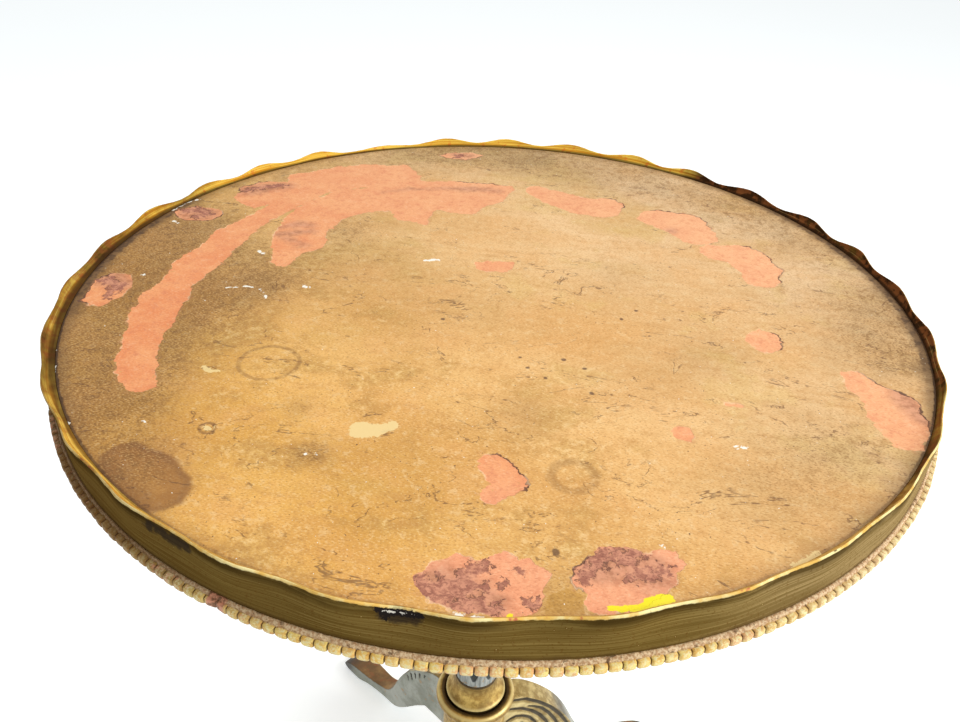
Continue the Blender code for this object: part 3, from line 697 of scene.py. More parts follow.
# (azimuth, share): how deep the scallops are; the rim is worn flat in places
SCALLOP_SHARE = [(0, 0.54), (15, 0.61), (24, 0.94), (60, 1.0), (110, 1.0), (118, 0.5),
                 (127, 0.47), (134, 0.88), (160, 0.84), (172, 0.67), (184, 0.4), (200, 0.34),
                 (225, 0.54), (240, 0.74), (262, 0.95), (290, 0.97), (305, 0.61), (318, 0.38),
                 (345, 0.4), (360, 0.54)]
# (azimuth, millimetres): how far the rim leans out, and how far it is worn down
RIM_LEAN = [(0, 0), (60, 1.0), (75, 2.2), (100, 1.2), (112, 0), (118, -1.2), (130, -1.2),
            (136, 0), (160, 0), (166, 3.0), (180, 3.0), (192, 4.5), (202, 5.0), (212, 4.5),
            (226, 2.0), (242, 0), (360, 0)]
RIM_SUNK = [(0, 0), (112, 0), (117, 2.6), (128, 2.6), (132, 0), (360, 0)]
# (azimuth, share): how dark and brown the outer face is, from patina and from painted shade on the
# side away from the light
WALL_PATINA_AND_SHADE = [(0, 0.1), (60, 0.25), (120, 0.35), (190, 0.3), (215, 0.4), (226, 0.6),
               (240, 0.52), (252, 0.36), (270, 0.28), (290, 0.25), (305, 0.12), (330, 0.05),
               (360, 0.1)]
# (azimuth, share): how bright the gold of the rim's edge is: rubbed gilding with a painted
# highlight, brightest at the front
RIM_SHINE = [(0, 0.45), (45, 0.35), (60, 0.45), (120, 0.6), (150, 0.55), (165, 0.35),
             (186, 0.4), (215, 0.3), (238, 0.55), (250, 0.9), (262, 1.0), (300, 1.0),
             (330, 0.85), (360, 0.45)]
# (azimuth, share): how bright the gold of the inner face is, partly wear and partly painted light:
# bright where it faces the light, painted dark shade where it turns away
INNER_SHEEN = [(0, 0.14), (50, 0.12), (58, 0.2), (66, 0.8), (110, 0.95), (125, 0.85),
               (146, 0.62), (160, 0.4), (176, 0.32), (196, 0.28), (215, 0.36), (262, 0.55),
               (300, 0.55), (330, 0.3), (360, 0.14)]
# (azimuth, share): the near part of the inner face, where it is dull gold
WALL_FRONT = [(0, 0), (180, 0), (232, 0.3), (256, 1), (320, 1), (345, 0.2), (360, 0)]


def wobble(angle, seed, waves, size):
    """A smooth random wave round the table, made of a few whole-number waves."""
    rng = np.random.default_rng(SEED + seed)
    total = np.zeros_like(angle)
    for count in waves:
        total += rng.uniform(-1, 1) * np.cos(count * angle + rng.uniform(0, 2 * math.pi))
    return total * size / math.sqrt(len(waves))


def wall_profile():
    """(radius, height) round the wall's section: up the outside, over the rim, down inside."""
    foot = wall_low.z
    rim_in = RIM_MEAN_RADIUS - RIM_THICKNESS
    middle = RIM_MEAN_RADIUS - RIM_THICKNESS / 2
    rows = [(RIM_MEAN_RADIUS, spread(foot, RIM_MEAN_HEIGHT - RIM_ROUND, i / 9)) for i in range(10)]
    for degrees in (25, 50, 75, 100, 130, 155):
        a = math.radians(degrees)
        rows.append((middle + RIM_THICKNESS / 2 * math.cos(a),
                     RIM_MEAN_HEIGHT - RIM_ROUND + RIM_ROUND * math.sin(a)))
    inner_top = RIM_MEAN_HEIGHT - RIM_ROUND
    for i in range(6):
        share = i / 5
        rows.append((spread(rim_in, WALL_FOOT_RADIUS, share ** 1.3),
                     spread(inner_top, BOARD_TOP - 0.4 * MM, share)))
    rows += [(WALL_FOOT_RADIUS, foot + 14 * MM), (WALL_FOOT_RADIUS, foot)]
    return rows


def make_wall(material):
    steps = 900
    crown = 13  # profile rows before this one are outside the top of the rim
    foot = wall_low.z
    angle = full_circle(steps)
    degrees = np.degrees(angle)
    around = (angle - math.radians(270)) * RIM_MEAN_RADIUS / MM
    out_by = 1 + wobble(angle, 1, (7, 11, 17, 23), 0.12)
    phase = wobble(angle, 2, (5, 9, 13), 0.014)
    dents = wobble(angle, 3, (37, 53, 71, 97, 131), 0.22 * MM)
    nicks = wobble(angle, 4, (83, 113, 151, 199, 240), 0.3 * MM)
    wave = np.cos(SCALLOPS * (angle + phase)) * lookup(degrees, SCALLOP_SHARE)
    lean = lookup(degrees, RIM_LEAN) * MM
    sunk = lookup(degrees, RIM_SUNK) * MM
    profile = wall_profile()
    points = np.zeros((steps, len(profile), 3))
    rim = np.zeros((steps, len(profile)))
    inner = np.zeros((steps, len(profile)))
    inner[:, crown:] = 1.0
    for j, (radius, height) in enumerate(profile):
        growth = (height - foot) / (RIM_MEAN_HEIGHT - foot)
        follows = 0.0 if radius < WALL_FOOT_RADIUS + 0.2 * MM else min(max(growth, 0.0), 1.0)
        above = max(0.0, (height - BOARD_TOP) / (RIM_MEAN_HEIGHT - BOARD_TOP))
        r = radius + SCALLOP_OUT * wave * follows * out_by + dents * follows ** 2
        z = height + SCALLOP_UP * wave * follows ** 2 + np.minimum(nicks, 0.0) * above
        if radius > RIM_MEAN_RADIUS - 1.2 * MM:
            lift = np.full(steps, (height - foot) / MM)
            r = r - ease(stroke_field(np.stack([around, lift], 1), WALL_CHIPS), -1.0, 1.5) * MM
        r = np.minimum(r + lean * follows ** 2, bead_high.x - 0.3 * MM)
        points[:, j] = circle(angle, r, np.minimum(z - sunk * above, wall_high.z))
        rim[:, j] = ease(above, 0.6, 0.95) if j < crown else 0.0
    flat = points.reshape(-1, 3)
    mesh = make_mesh("scalloped_wall", flat, grid_faces(steps, len(profile), True, True), 60)
    azimuth = azimuth_of(flat[:, 0], flat[:, 1])
    lift = (flat[:, 2] - foot) / MM
    unrolled = np.stack([(azimuth - 270) * math.pi / 180 * RIM_MEAN_RADIUS / MM, lift], 1)
    set_fields(mesh, rim=rim.ravel(), inner=inner.ravel(), lift=lift,
               chip=stroke_field(unrolled, WALL_CHIPS), smoke=stroke_field(unrolled, WALL_SMOKE),
               patina=lookup(azimuth, WALL_PATINA_AND_SHADE), sheen=lookup(azimuth, INNER_SHEEN),
               shine=lookup(azimuth, RIM_SHINE), front=lookup(azimuth, WALL_FRONT))
    place_piece("scalloped_wall", mesh, material, "gallery", "gallery_band")


def wall_material():
    """Dark olive gilding brushed round the wall, darker with patina and painted shade on the side
    away from the light, with bright metal left along its rim under a painted highlight, and painted
    light and shade round its inner face.
    """
    g = Graph("brushed_olive_gilt", specular=0.0)
    lift, patina, sheen, front = (g.field(v) for v in ("lift", "patina", "sheen", "front"))
    brushed = g.noise(0.42, 31, 3, 0.62, squeeze=(0.008, 0.008, 1))
    broad = g.noise(16, 32, 4, 0.6, squeeze=(0.4, 0.4, 1))
    speck = g.noise(0.9, 33, 2)
    lump = g.noise(5, 34, 4, 0.6)
    outer = g.fade(brushed, 0.38, 0.66, (114, 92, 42), (152, 128, 70))
    # paler gold where the patina and shade are low: painted light on the side towards the light
    pale = g.fade(brushed, 0.4, 0.6, (146, 122, 78), (184, 156, 110))
    # patina, with painted shade on the side away from the light
    dark_patina_and_shade = g.times(patina, g.step(broad, 0.3, 0.66, 0.8, 1.2))
    under_rim = g.times(g.step(lift, 22, 32), g.step(broad, 0.4, 0.58, 0.2, 0.8))
    hair = g.times(g.step(brushed, 0.62, 0.7), g.step(broad, 0.46, 0.6))
    outer = g.coats(
        g.mix(g.step(patina, 0.24, 0.04, 0.0, 0.75), outer, pale),
        (speck, 0.56, 0.72, 0.7, 110, 78, 32), (speck, 0.74, 0.78, 1.0, 250, 226, 150),
        (g.math("MINIMUM", dark_patina_and_shade, 0.92), 92, 60, 22), (under_rim, 56, 40, 14),
        (g.times(hair, 0.35), 196, 170, 110), (g.rough(lift, lump, 6.0), 3.5, 0.8, 0.6, 96, 72, 38))

    inside = g.coats(g.fade(brushed, 0.4, 0.62, (206, 142, 40), (255, 214, 92)),
                     (lump, 0.56, 0.66, 0.7, 214, 112, 44))
    inside = g.mix(front, inside, g.fade(lump, 0.4, 0.6, (222, 172, 92), (188, 136, 64)))
    # painted shade: dark brown where the inner face turns away from the light, broken by noise
    inside = g.mix(g.step(g.rough(sheen, broad, 0.8), 0.15, 0.55), tone(62, 38, 20), inside)
    russet = g.times(g.step(lump, 0.44, 0.58), g.step(sheen, 0.5, 0.18, 0.0, 0.75))
    pale_streak = g.times(g.step(brushed, 0.6, 0.68), g.step(broad, 0.44, 0.58, 0.0, 0.6))
    # painted shade in the corner where the inner face meets the board, except at the front
    low_painted_shade = g.times(g.step(lift, 30.4, 29.0, 0.0, 0.85), g.flip(front))
    inside = g.coats(inside, (russet, 142, 84, 44), (pale_streak, 206, 170, 106),
                     (low_painted_shade, 58, 38, 22))

    # rim: rubbed bright gold with a painted highlight, with bole and dirt where it is knocked
    edge = g.step(g.rough(g.field("rim"), lump, 0.7), 0.42, 0.62)
    knock = g.noise(11, 35, 4, 0.6)
    gold = g.coats(g.fade(knock, 0.4, 0.6, (255, 238, 172), (240, 192, 100)),
                   (knock, 0.6, 0.66, 1.0, 206, 120, 84), (knock, 0.36, 0.31, 0.9, 74, 50, 30))
    dull_gold = g.fade(knock, 0.4, 0.6, (168, 118, 52), (92, 60, 28))
    gold = g.mix(g.field("shine"), dull_gold, gold)
    smoke = g.step(g.rough(g.field("smoke"), lump, 14.0), -2.0, 2.0)
    chip = g.rough(g.field("chip"), speck, 5.0)
    white = g.times(g.step(chip, 2.2, 2.8), g.step(lump, 0.54, 0.58))
    colour = g.coats(g.mix(edge, g.mix(g.field("inner"), outer, inside), gold),
                     (g.times(smoke, 0.8), 46, 38, 34), (chip, -0.3, 0.3, 1.0, 40, 34, 32),
                     (white, 238, 230, 216))
    return g.finish(colour, g.step(brushed, 0.3, 0.7, 0.36, 0.56),
                    g.total((brushed, 0.5), (lump, 0.5)), 0.35, 0.6)


# ---------------- beads and the ledge above them
# (azimuth, share): how much of the beads' pale gold has gone brown, and where they look chalky
BEAD_DULL = [(0, 0.15), (90, 0.3), (180, 0.9), (215, 1.05), (236, 0.85), (250, 0.45),
             (275, 0.1), (330, 0.08), (360, 0.15)]
BEAD_CHALK = [(0, 1), (60, 0.6), (120, 0), (290, 0), (318, 1), (360, 1)]
# (azimuth, millimetres): the ledge is widest at the front and narrow at the sides and back
LEDGE_WIDTH = [(0, 1.8), (190, 1.5), (244, 1.6), (258, 2.6), (300, 2.6), (330, 2.0), (360, 1.8)]
BROKEN_BEAD, BROKEN_REACH = 251.4, 1.2


def make_beads(material):
    """One row of squarish pads with a broken ledge of old ground above it."""
    per_bead = 12
    steps = BEADS * per_bead
    rng = np.random.default_rng(SEED + 40)
    bead = np.arange(steps) // per_bead
    across = (np.arange(steps) % per_bead) / per_bead * 2 - 1
    shift = rng.uniform(-0.1, 0.1, BEADS)[bead]
    across = np.clip(across + shift * (1 - np.abs(across)), -1, 1)
    squareness = rng.uniform(2.8, 4.6, BEADS)[bead]
    swell = (1 - np.abs(across) ** squareness) ** (1 / 2.2)
    size = rng.uniform(0.9, 1.0, BEADS)[bead]
    angle = full_circle(steps, 0.5)
    degrees = np.degrees(angle)
    broken = np.exp(-((degrees - BROKEN_BEAD) / BROKEN_REACH) ** 2)
    out = BEAD_SIZE * size * (0.48 + 0.52 * swell) * (1 - 0.45 * broken)
    tall = BEAD_SIZE * (0.66 + 0.34 * swell) * size
    centre_z = bead_high.z - BEAD_SIZE
    # the ledge's edge is chewed in waves, with crumbs on top
    chew = [wobble(angle, 50 + i, (67, 101, 149, 211, 307, 419), 1.0) for i in range(2)]
    crumbs = rng.uniform(-1, 1, (steps, 4))
    lift = np.clip(0.65 + 0.4 * chew[0] + 0.22 * crumbs[:, 0], 0.1, 1.4) * MM
    shelf = lookup(degrees, LEDGE_WIDTH)
    shelf_low = np.interp(shelf, (1.5, 2.6), (0.86, 0.62))
    lip = RIM_MEAN_RADIUS + (shelf + 0.45 * chew[1] + 0.3 * crumbs[:, 1]) * MM
    inner_radius = 0.34
    top = bead_high.z
    # (radius, height, how much it is ledge)
    rows = [(inner_radius, top, 0.0), (RIM_MEAN_RADIUS - 0.6 * MM, top, 0.0),
            (RIM_MEAN_RADIUS + 0.45 * MM, top + lift * 0.9, 1.0),
            (RIM_MEAN_RADIUS + 0.95 * MM, top + lift, 1.0),
            (lip, top + lift * 0.2 + 0.1 * MM * crumbs[:, 2], 1.0),
            (lip + 0.4 * MM, centre_z + tall * shelf_low, 0.8),
            (lip + 0.7 * MM, centre_z + tall * (shelf_low + 0.04), 0.0)]
    for turn in (36, 22, 10, -2, -14, -28, -44, -62, -80):
        a = math.radians(turn)
        rise = math.copysign(abs(math.sin(a)) ** 0.85, math.sin(a))
        rows.append((BEAD_CENTRE + out * math.cos(a) ** 0.5, centre_z + tall * rise, 0.0))
    rows += [(BEAD_CENTRE - 2 * MM, centre_z - BEAD_SIZE, 0.0),
             (inner_radius, centre_z - BEAD_SIZE, 0.0)]
    points = np.stack([circle(angle, radius, height) for radius, height, _ in rows], 1)
    flat = points.reshape(-1, 3)
    width = len(rows)
    mesh = make_mesh("bead_row", flat, grid_faces(steps, width, True, True), 75)
    azimuth = azimuth_of(flat[:, 0], flat[:, 1])
    set_fields(mesh, ledge=np.tile([part for _, _, part in rows], steps),
               swell=np.repeat(swell, width), broken=np.repeat(broken, width),
               each=np.repeat(rng.uniform(0, 1, BEADS)[bead], width),
               drop=(centre_z - flat[:, 2]) / BEAD_SIZE,
               dull=lookup(azimuth, BEAD_DULL), chalky=lookup(azimuth, BEAD_CHALK))
    place_piece("bead_row", mesh, material, "beading", "bead_moulding")


def bead_material():
    """Pale yellow gold pads with pink wear, dark joints, a painted highlight on each pad's crown,
    painted blue-grey shade on their lower halves, and a broken gesso ledge.
    """
    g = Graph("pale_gold_beads", specular=0.2)
    lump = g.noise(2.2, 41, 4, 0.6)
    fine = g.noise(0.8, 42)
    broad = g.noise(26, 43)
    swell, own_dull = g.field("swell"), g.field("dull")
    dull = g.rough(own_dull, broad, 0.6)
    gold = g.coats(
        g.fade(lump, 0.36, 0.62, (255, 228, 136), (240, 188, 90)),
        (g.field("each"), 0.2, 0.9, 0.35, 248, 196, 130), (fine, 0.54, 0.7, 0.6, 176, 122, 60),
        (dull, 0.2, 0.9, 0.94, 120, 76, 22),
        (g.rough(broad, lump, 0.7), 0.58, 0.68, 0.55, 238, 172, 138))
    chalk = g.fade(lump, 0.4, 0.6, (224, 196, 152), (190, 160, 120))
    gold = g.mix(g.times(g.field("chalky"), 0.7), gold, chalk)
    # painted highlight on the crown of each pad
    painted_bead_highlight = g.times(g.step(swell, 0.9, 1.0), g.step(fine, 0.42, 0.58))
    painted_bead_highlight = g.times(painted_bead_highlight, g.step(own_dull, 0.85, 0.35, 0.15, 1.0))
    # painted blue-grey shade on the pads' lower halves
    painted_lower_shade = g.times(g.step(g.field("drop"), 0.25, 0.85, 0.0, 0.75), g.step(own_dull, 0.8, 0.4))
    joint = g.times(g.step(swell, 0.66, 0.28), 0.85)
    gold = g.coats(gold, (g.times(painted_bead_highlight, 0.65), 255, 246, 190), (painted_lower_shade, 148, 140, 122),
                   (joint, 104, 70, 38))
    gesso = g.coats(g.fade(fine, 0.4, 0.62, (238, 208, 164), (196, 152, 108)),
                    (lump, 0.56, 0.66, 0.8, 112, 82, 52), (dull, 0.2, 0.9, 0.8, 118, 80, 36))
    colour = g.mix(g.step(g.field("ledge"), 0.35, 0.8), gold, gesso)
    damage = g.fade(lump, 0.44, 0.58, (220, 150, 116), (132, 92, 62))
    colour = g.mix(g.step(g.field("broken"), 0.35, 0.6), colour, damage)
    return g.finish(colour, g.step(lump, 0.3, 0.7, 0.42, 0.66),
                    g.total((lump, 0.6), (fine, 0.4)), 0.5, 0.7)


# ---------------- turned pieces
def smooth_curve(points, steps):
    """Points along a Catmull-Rom curve through the given points."""
    ends = [points[0], *points, points[-1]]
    result = []
    for a, b, c, d in zip(ends, ends[1:], ends[2:], ends[3:]):
        for step in range(steps):
            t = step / steps
            result.append(tuple(
                0.5 * (2 * q + (r - p) * t + (2 * p - 5 * q + 4 * r - s) * t * t
                       + (3 * q - p - 3 * r + s) * t ** 3)
                for p, q, r, s in zip(a, b, c, d)))
    result.append(points[-1])
    return result


def arc(centre_r, centre_z, radius, start, end, steps):
    angles = [math.radians(spread(start, end, i / steps)) for i in range(steps + 1)]
    return [(centre_r + radius * math.cos(a), centre_z + radius * math.sin(a)) for a in angles]


def make_turning(name, profile, material, node, seed, dark=None, lit=None):
    """Spin a closed (radius, height) profile, with the slight unevenness of hand turning."""
    steps = 144
    angle = full_circle(steps)
    uneven = 1 + wobble(angle, 60 + seed, (2, 3, 5, 9), 0.0015)
    rows = [circle(angle, radius * (uneven if radius > 0.016 else np.ones(steps)), height)
            for radius, height in profile]
    points = np.stack(rows, 1).reshape(-1, 3)
    mesh = make_mesh(name, points, grid_faces(steps, len(profile), True, True), 50)
    ring = np.array(profile)
    before, after = ring - np.roll(ring, 1, 0), np.roll(ring, -1, 0) - ring
    lengths = np.linalg.norm(before, axis=1) * np.linalg.norm(after, axis=1)
    turn = (before[:, 0] * after[:, 1] - before[:, 1] * after[:, 0]) / (lengths + 1e-12)
    # dark gives painted shade and lit gives painted highlights, kept as the dirt and rubbed fields
    dirt, rubbed = ([float(rule(*row)) if rule else 0.0 for row in profile]
                    for rule in (dark, lit))
    set_fields(mesh, hollow=np.tile(np.clip(-turn, -1, 1), steps), dirt=np.tile(dirt, steps),
               rubbed=np.tile(rubbed, steps))
    place_piece(name, mesh, material, "turning", node)


def turning_material():
    """Antique gold, with painted highlights on its swellings, dark where the turning is hollow, and
    painted shade under the collar's lip, in the cove and towards the shaft.
    """
    g = Graph("antique_gold_turning", metallic=0.55)
    lump = g.noise(4, 61, 4, 0.6)
    fine = g.noise(0.9, 62)
    gold = g.coats(
        g.fade(lump, 0.36, 0.64, (226, 190, 104), (176, 138, 64)),
        (g.noise(0.8, 64, 4, 0.6, squeeze=(0.15, 0.15, 1)), 0.5, 0.7, 0.5, 176, 138, 64),
        (g.noise(18, 63), 0.46, 0.68, 0.6, 112, 82, 36), (fine, 0.6, 0.74, 0.6, 112, 82, 36),
        (g.field("hollow"), 0.02, 0.3, 0.85, 50, 38, 22),
        # the rubbed field is a painted highlight, the dirt field painted shade
        (g.times(g.field("rubbed"), 0.75), 252, 226, 150),
        (g.times(g.field("dirt"), 0.85), 64, 46, 24))
    return g.finish(gold, g.step(lump, 0.3, 0.7, 0.34, 0.56),
                    g.total((lump, 0.5), (fine, 0.5)), 0.3, 0.5)


def collar_profile():
    low, top = collar_box[0].z, collar_box[1].z
    flare = smooth_curve([(0.0255, top - 2.5 * MM), (0.0252, low + 27.7 * MM),
                          (0.0268, low + 19.7 * MM), (0.0302, low + 12.7 * MM),
                          (0.035, low + 7.5 * MM)], 8)
    lip = smooth_curve([(0.035, low + 7.5 * MM), (0.0356, low + 6.2 * MM),
                        (0.035, low + 4.7 * MM), (0.0318, low + 2.9 * MM), (0.03, low)], 4)
    return [(BORE, low), (BORE, top), (0.0244, top), (0.025, top - 0.6 * MM)] + flare + lip[1:]


def collar_shade(radius, height):
    """Painted shade: dark under the lip, and dusky towards the shaft under the board."""
    lift = (height - collar_box[0].z) / MM
    return max(ease(lift, 5.2, 4.0), 0.55 * ease(lift, 16, 30))


# painted highlight along the collar's lip
def collar_shine(radius, height):
    lift = (height - collar_box[0].z) / MM
    return ease(lift, 4.8, 6.0) * ease(lift, 10.0, 7.0)


def ring_shade(radius, height):
    """Painted shade: dark in the cove between the ring and the collar."""
    return ease(radius / MM, 42.5, 40.0)


# painted highlight along the ring's outer band
def ring_shine(radius, height):
    return ease(radius / MM, 42.5, 44.0) * ease(radius / MM, 47.2, 45.5)


def ring_profile():
    low, top = ring_box[0].z, ring_box[1].z
    tube = 0.0068
    middle = ring_box[1].x - tube
    return ([(BORE, low), (middle - 3 * MM, low)] + arc(middle, low + tube, tube, -70, 128, 26)
            + [(0.0345, low + 8.4 * MM), (0.0335, top), (BORE, top)])


def capital_profile():
    low, top = capital_box[0].z, capital_box[1].z
    profile = [(BORE, low), (0.0345, low)]
    profile += arc(0.0345, low + 4.5 * MM, 4.5 * MM, -75, 75, 12)
    profile += [(0.0352, low + 9.6 * MM), (0.035, low + 11 * MM)]
    profile += arc(0.06, low + 11 * MM, 25 * MM, 176, 105, 16)
    profile += [(0.056, top - 9.2 * MM), (0.0563, top - 8.0 * MM), (0.0586, top - 7.2 * MM),
                (0.059, top - 6.4 * MM), (0.059, top - 0.8 * MM), (0.0582, top), (BORE, top)]
    return profile


def finial_profile():
    peg, tiny = 18 * MM, 0.05 * MM
    low, top = finial_box[0].z, finial_box[1].z - peg
    profile = [(tiny, top + peg), (0.008, top + peg), (0.008, top), (0.0182, top)]
    profile += arc(0.0182, top - 1.5 * MM, 0.8 * MM, 80, -80, 6)
    profile += [(0.015, top - 3.6 * MM), (0.0122, top - 6.2 * MM), (0.0118, top - 8.0 * MM)]
    profile += arc(0.0, top - 15 * MM, 13 * MM, 28, -72, 18)
    profile += [(0.0026, low + 0.6 * MM), (0.0012, low + 0.1 * MM), (tiny, low)]
    return profile


def make_shaft(material):
    """The tapering shaft: eight narrow round-ended flutes between broad flat ribs."""
    low, high = 0.2233, 0.64
    foot_radius, head_radius, tenon = 0.0245, 0.033, 0.015
    flutes, depth, half_width = 8, 4.2 * MM, 0.56
    steps = 192
    angle = full_circle(steps)
    to_flute = np.abs((angle * flutes / (2 * math.pi) + 0.5) % 1.0 - 0.5) * 2
    heights = np.concatenate([np.linspace(0, 10, 6), np.linspace(11, 26, 12),
                              np.linspace(30, 386, 60), np.linspace(390, 405, 12),
                              np.linspace(407, 416.7, 5)]) * MM
    rings = [circle(angle, tenon, z) for z in (shaft_box[0].z, low)]
    hollows = [np.zeros(steps)] * 2
    for lift in heights:
        from_end = min(lift, high - low - lift)
        base = spread(foot_radius, head_radius, lift / (high - low))
        if 6.5 * MM <= from_end < 8 * MM:
            base -= 0.4 * MM
        half = half_width * math.sqrt(max(0.0, min(1.0, (from_end - 9 * MM) / (9 * MM))))
        groove = np.clip(1 - (to_flute / max(half, 1e-3)) ** 2, 0, 1) ** 0.5 if half > 0.02 else 0
        rings.append(circle(angle, base - depth * groove * min(1.0, half / half_width), low + lift))
        hollows.append(np.broadcast_to(groove, steps) * 1.0)
    rings += [circle(angle, tenon, z) for z in (high, shaft_box[1].z)]
    hollows += [np.zeros(steps)] * 2
    rows = len(rings)
    faces = [tuple(f) for f in grid_faces(rows, steps, False, True)]
    faces += [tuple(range(steps)), tuple(range((rows - 1) * steps, rows * steps))]
    mesh = make_mesh("fluted_shaft", np.concatenate(rings), faces, 45)
    set_fields(mesh, hollow=np.concatenate(hollows))
    place_piece("fluted_shaft", mesh, material, "shaft", "column_shaft")


def shaft_material():
    """Blue-grey wash over old gold, dark in the flutes, worn to gold in spots."""
    g = Graph("blue_grey_wash")
    lump = g.noise(5, 71, 4, 0.6)
    drag = g.noise(1.6, 72, 4, 0.6, squeeze=(1, 1, 0.12))
    wash = g.coats(
        g.fade(drag, 0.38, 0.64, (176, 180, 174), (122, 126, 122)),
        (g.noise(34, 73), 0.44, 0.64, 0.5, 132, 134, 122), (lump, 0.6, 0.68, 0.8, 176, 138, 82),
        (g.field("hollow"), 0.05, 0.6, 0.92, 40, 44, 42))
    return g.finish(wash, g.step(lump, 0.3, 0.7, 0.5, 0.7), g.add(lump, g.times(drag, 0.5)),
                    0.3, 0.5)


# ---------------- legs
# (distance from the axis, height, half width) in millimetres: the volute is on the leg's
# right-hand side seen from its toe, the gouges are on the other side
VOLUTE_GROOVES = [
    [(38, 166, 1.2), (46, 166.5, 1.8), (62, 164.5, 2.0), (80, 152, 2.2), (96, 137, 2.2),
     (110, 118, 2.1), (121, 97, 1.7), (128, 80, 0.9)],
    [(66, 149, 0.6), (73, 146, 1.5), (84, 139, 2.0), (95, 125, 2.0), (104, 109, 1.8),
     (110, 95, 1.0)],
    [(38, 150, 1.2), (44, 149.5, 1.8), (57, 147, 2.0), (71, 138, 2.2), (83, 125, 2.2),
     (92, 110, 1.8), (97, 98, 1.0)],
    [(39, 126, 1.2), (44, 130, 1.6), (51, 133, 2.0), (60, 131, 2.0), (69, 125, 1.9),
     (78, 112, 1.3)],
]
VOLUTE_EYE = [[(58.5, 118, 2.6)]]
GOUGES = [[(76, 151, 1.2), (77, 145, 0.5)], [(86, 144, 1.5), (86, 136, 0.5)],
          [(95, 136, 1.6), (94, 127, 0.6)], [(103, 128, 1.7), (101, 118, 0.7)],
          [(110, 118, 1.2), (108, 110, 0.5)]]


def leg_outline():
    """The leg's side outline as (distance from the axis, height), in metres."""
    inner, sole = 0.0333, 0.0028
    top, hub_bottom = 0.172, hub_box[0].z
    back = [(inner, top), (0.048, top), (0.057, 0.1708), (0.068, 0.165),
            (0.081, 0.1555), (0.094, 0.1435), (0.107, 0.129), (0.118, 0.113),
            (0.127, 0.096), (0.135, 0.078), (0.142, 0.061), (0.15, 0.0465),
            (0.16, 0.036), (0.172, 0.031), (0.186, 0.0285), (0.201, 0.027),
            (0.216, 0.0255), (0.23, 0.023), (0.242, 0.0185), (0.25, 0.0125),
            (0.252, 0.0085), (0.249, 0.005), (0.243, sole)]
    under = [(0.22, sole), (0.214, 0.0048), (0.203, 0.0095), (0.19, 0.012),
             (0.172, 0.0125), (0.154, 0.014), (0.142, 0.0185), (0.132, 0.0255),
             (0.122, 0.0355), (0.113, 0.046), (0.104, 0.057), (0.095, 0.068),
             (0.086, 0.0775), (0.076, hub_bottom)]
    return smooth_curve(back, 5) + smooth_curve(under, 4) + [(inner, hub_bottom)]


def leg_shape():
    """The leg with its dovetail tongue, remeshed finely. Returns a mesh along +X."""
    bm = bmesh.new()
    outline = leg_outline()
    face = bm.faces.new([bm.verts.new((s, -LEG_THICK / 2, z)) for s, z in outline])
    side = bmesh.ops.extrude_face_region(bm, geom=[face])
    moved = [item for item in side["geom"] if isinstance(item, bmesh.types.BMVert)]
    bmesh.ops.translate(bm, verts=moved, vec=(0, LEG_THICK, 0))
    tongue = [(0.022, 0.009), (0.033, 0.006), (0.039, 0.006),
              (0.039, -0.006), (0.033, -0.006), (0.022, -0.009)]
    low = [bm.verts.new((x, y, hub_box[0].z)) for x, y in tongue]
    high = [bm.verts.new((x, y, 0.162)) for x, y in tongue]
    bm.faces.new(low)
    bm.faces.new(high[::-1])
    for i in range(len(tongue)):
        j = (i + 1) % len(tongue)
        bm.faces.new((low[j], low[i], high[i], high[j]))
    bmesh.ops.recalc_face_normals(bm, faces=bm.faces)
    rough = bpy.data.meshes.new("leg_rough")
    bm.to_mesh(rough)
    bm.free()
    obj = bpy.data.objects.new("leg_rough", rough)
    bpy.context.scene.collection.objects.link(obj)
    remesh = obj.modifiers.new("remesh", "REMESH")
    remesh.mode = "VOXEL"
    remesh.voxel_size = 1.15 * MM
    soften = obj.modifiers.new("soften", "SMOOTH")
    soften.iterations = 3
    soften.factor = 0.5
    bpy.context.view_layer.update()
    evaluated = obj.evaluated_get(bpy.context.evaluated_depsgraph_get())
    mesh = bpy.data.meshes.new_from_object(evaluated)
    bpy.data.objects.remove(obj)
    return mesh


def mesh_array(mesh, name):
    """The mesh's vertex positions or normals, one row each."""
    values = np.zeros(len(mesh.vertices) * 3)
    mesh.vertices.foreach_get(name, values)
    return values.reshape(-1, 3)


def carve_leg(mesh):
    """Cut the volute on one side and the gouges on the other, and thin the ankle."""
    points, normals = mesh_array(mesh, "co"), mesh_array(mesh, "normal")
    flat = points[:, [0, 2]] / MM
    groove = stroke_field(flat, VOLUTE_GROOVES)
    eye = stroke_field(flat, VOLUTE_EYE)
    gouge = stroke_field(flat, GOUGES)
    carved_side = ease(-normals[:, 1], 0.3, 0.8)
    plain_side = ease(normals[:, 1], 0.3, 0.8)
    cut = ease(groove, -2.2, 1.6) * 2.4 * MM + ease(eye, -1.5, 1.5) * 2.2 * MM
    round_off = ease(groove, -7.0, -2.5) * 0.5 * MM
    points[:, 1] += carved_side * (cut + round_off)
    points[:, 1] -= plain_side * ease(gouge, -0.6, 1.0) * 2.6 * MM
    ankle, ankle_reach, ankle_thin = 165, 30, 0.24
    waist = np.exp(-((points[:, 0] / MM - ankle) / ankle_reach) ** 2)
    points[:, 1] *= 1 - ankle_thin * waist
    mesh.vertices.foreach_set("co", points.ravel())
    mesh.update()
    grooved = (ease(groove, -1.6, 1.2) * carved_side + ease(eye, -1.0, 1.0) * carved_side
               + ease(gouge, -0.6, 0.6) * plain_side)
    set_fields(mesh, carved=carved_side, top_face=ease(normals[:, 2], 0.35, 0.75),
               groove=grooved, ridge=ease(groove, -2.0, -4.2) * carved_side,
               reach=points[:, 0] / MM)
    mesh.shade_smooth()


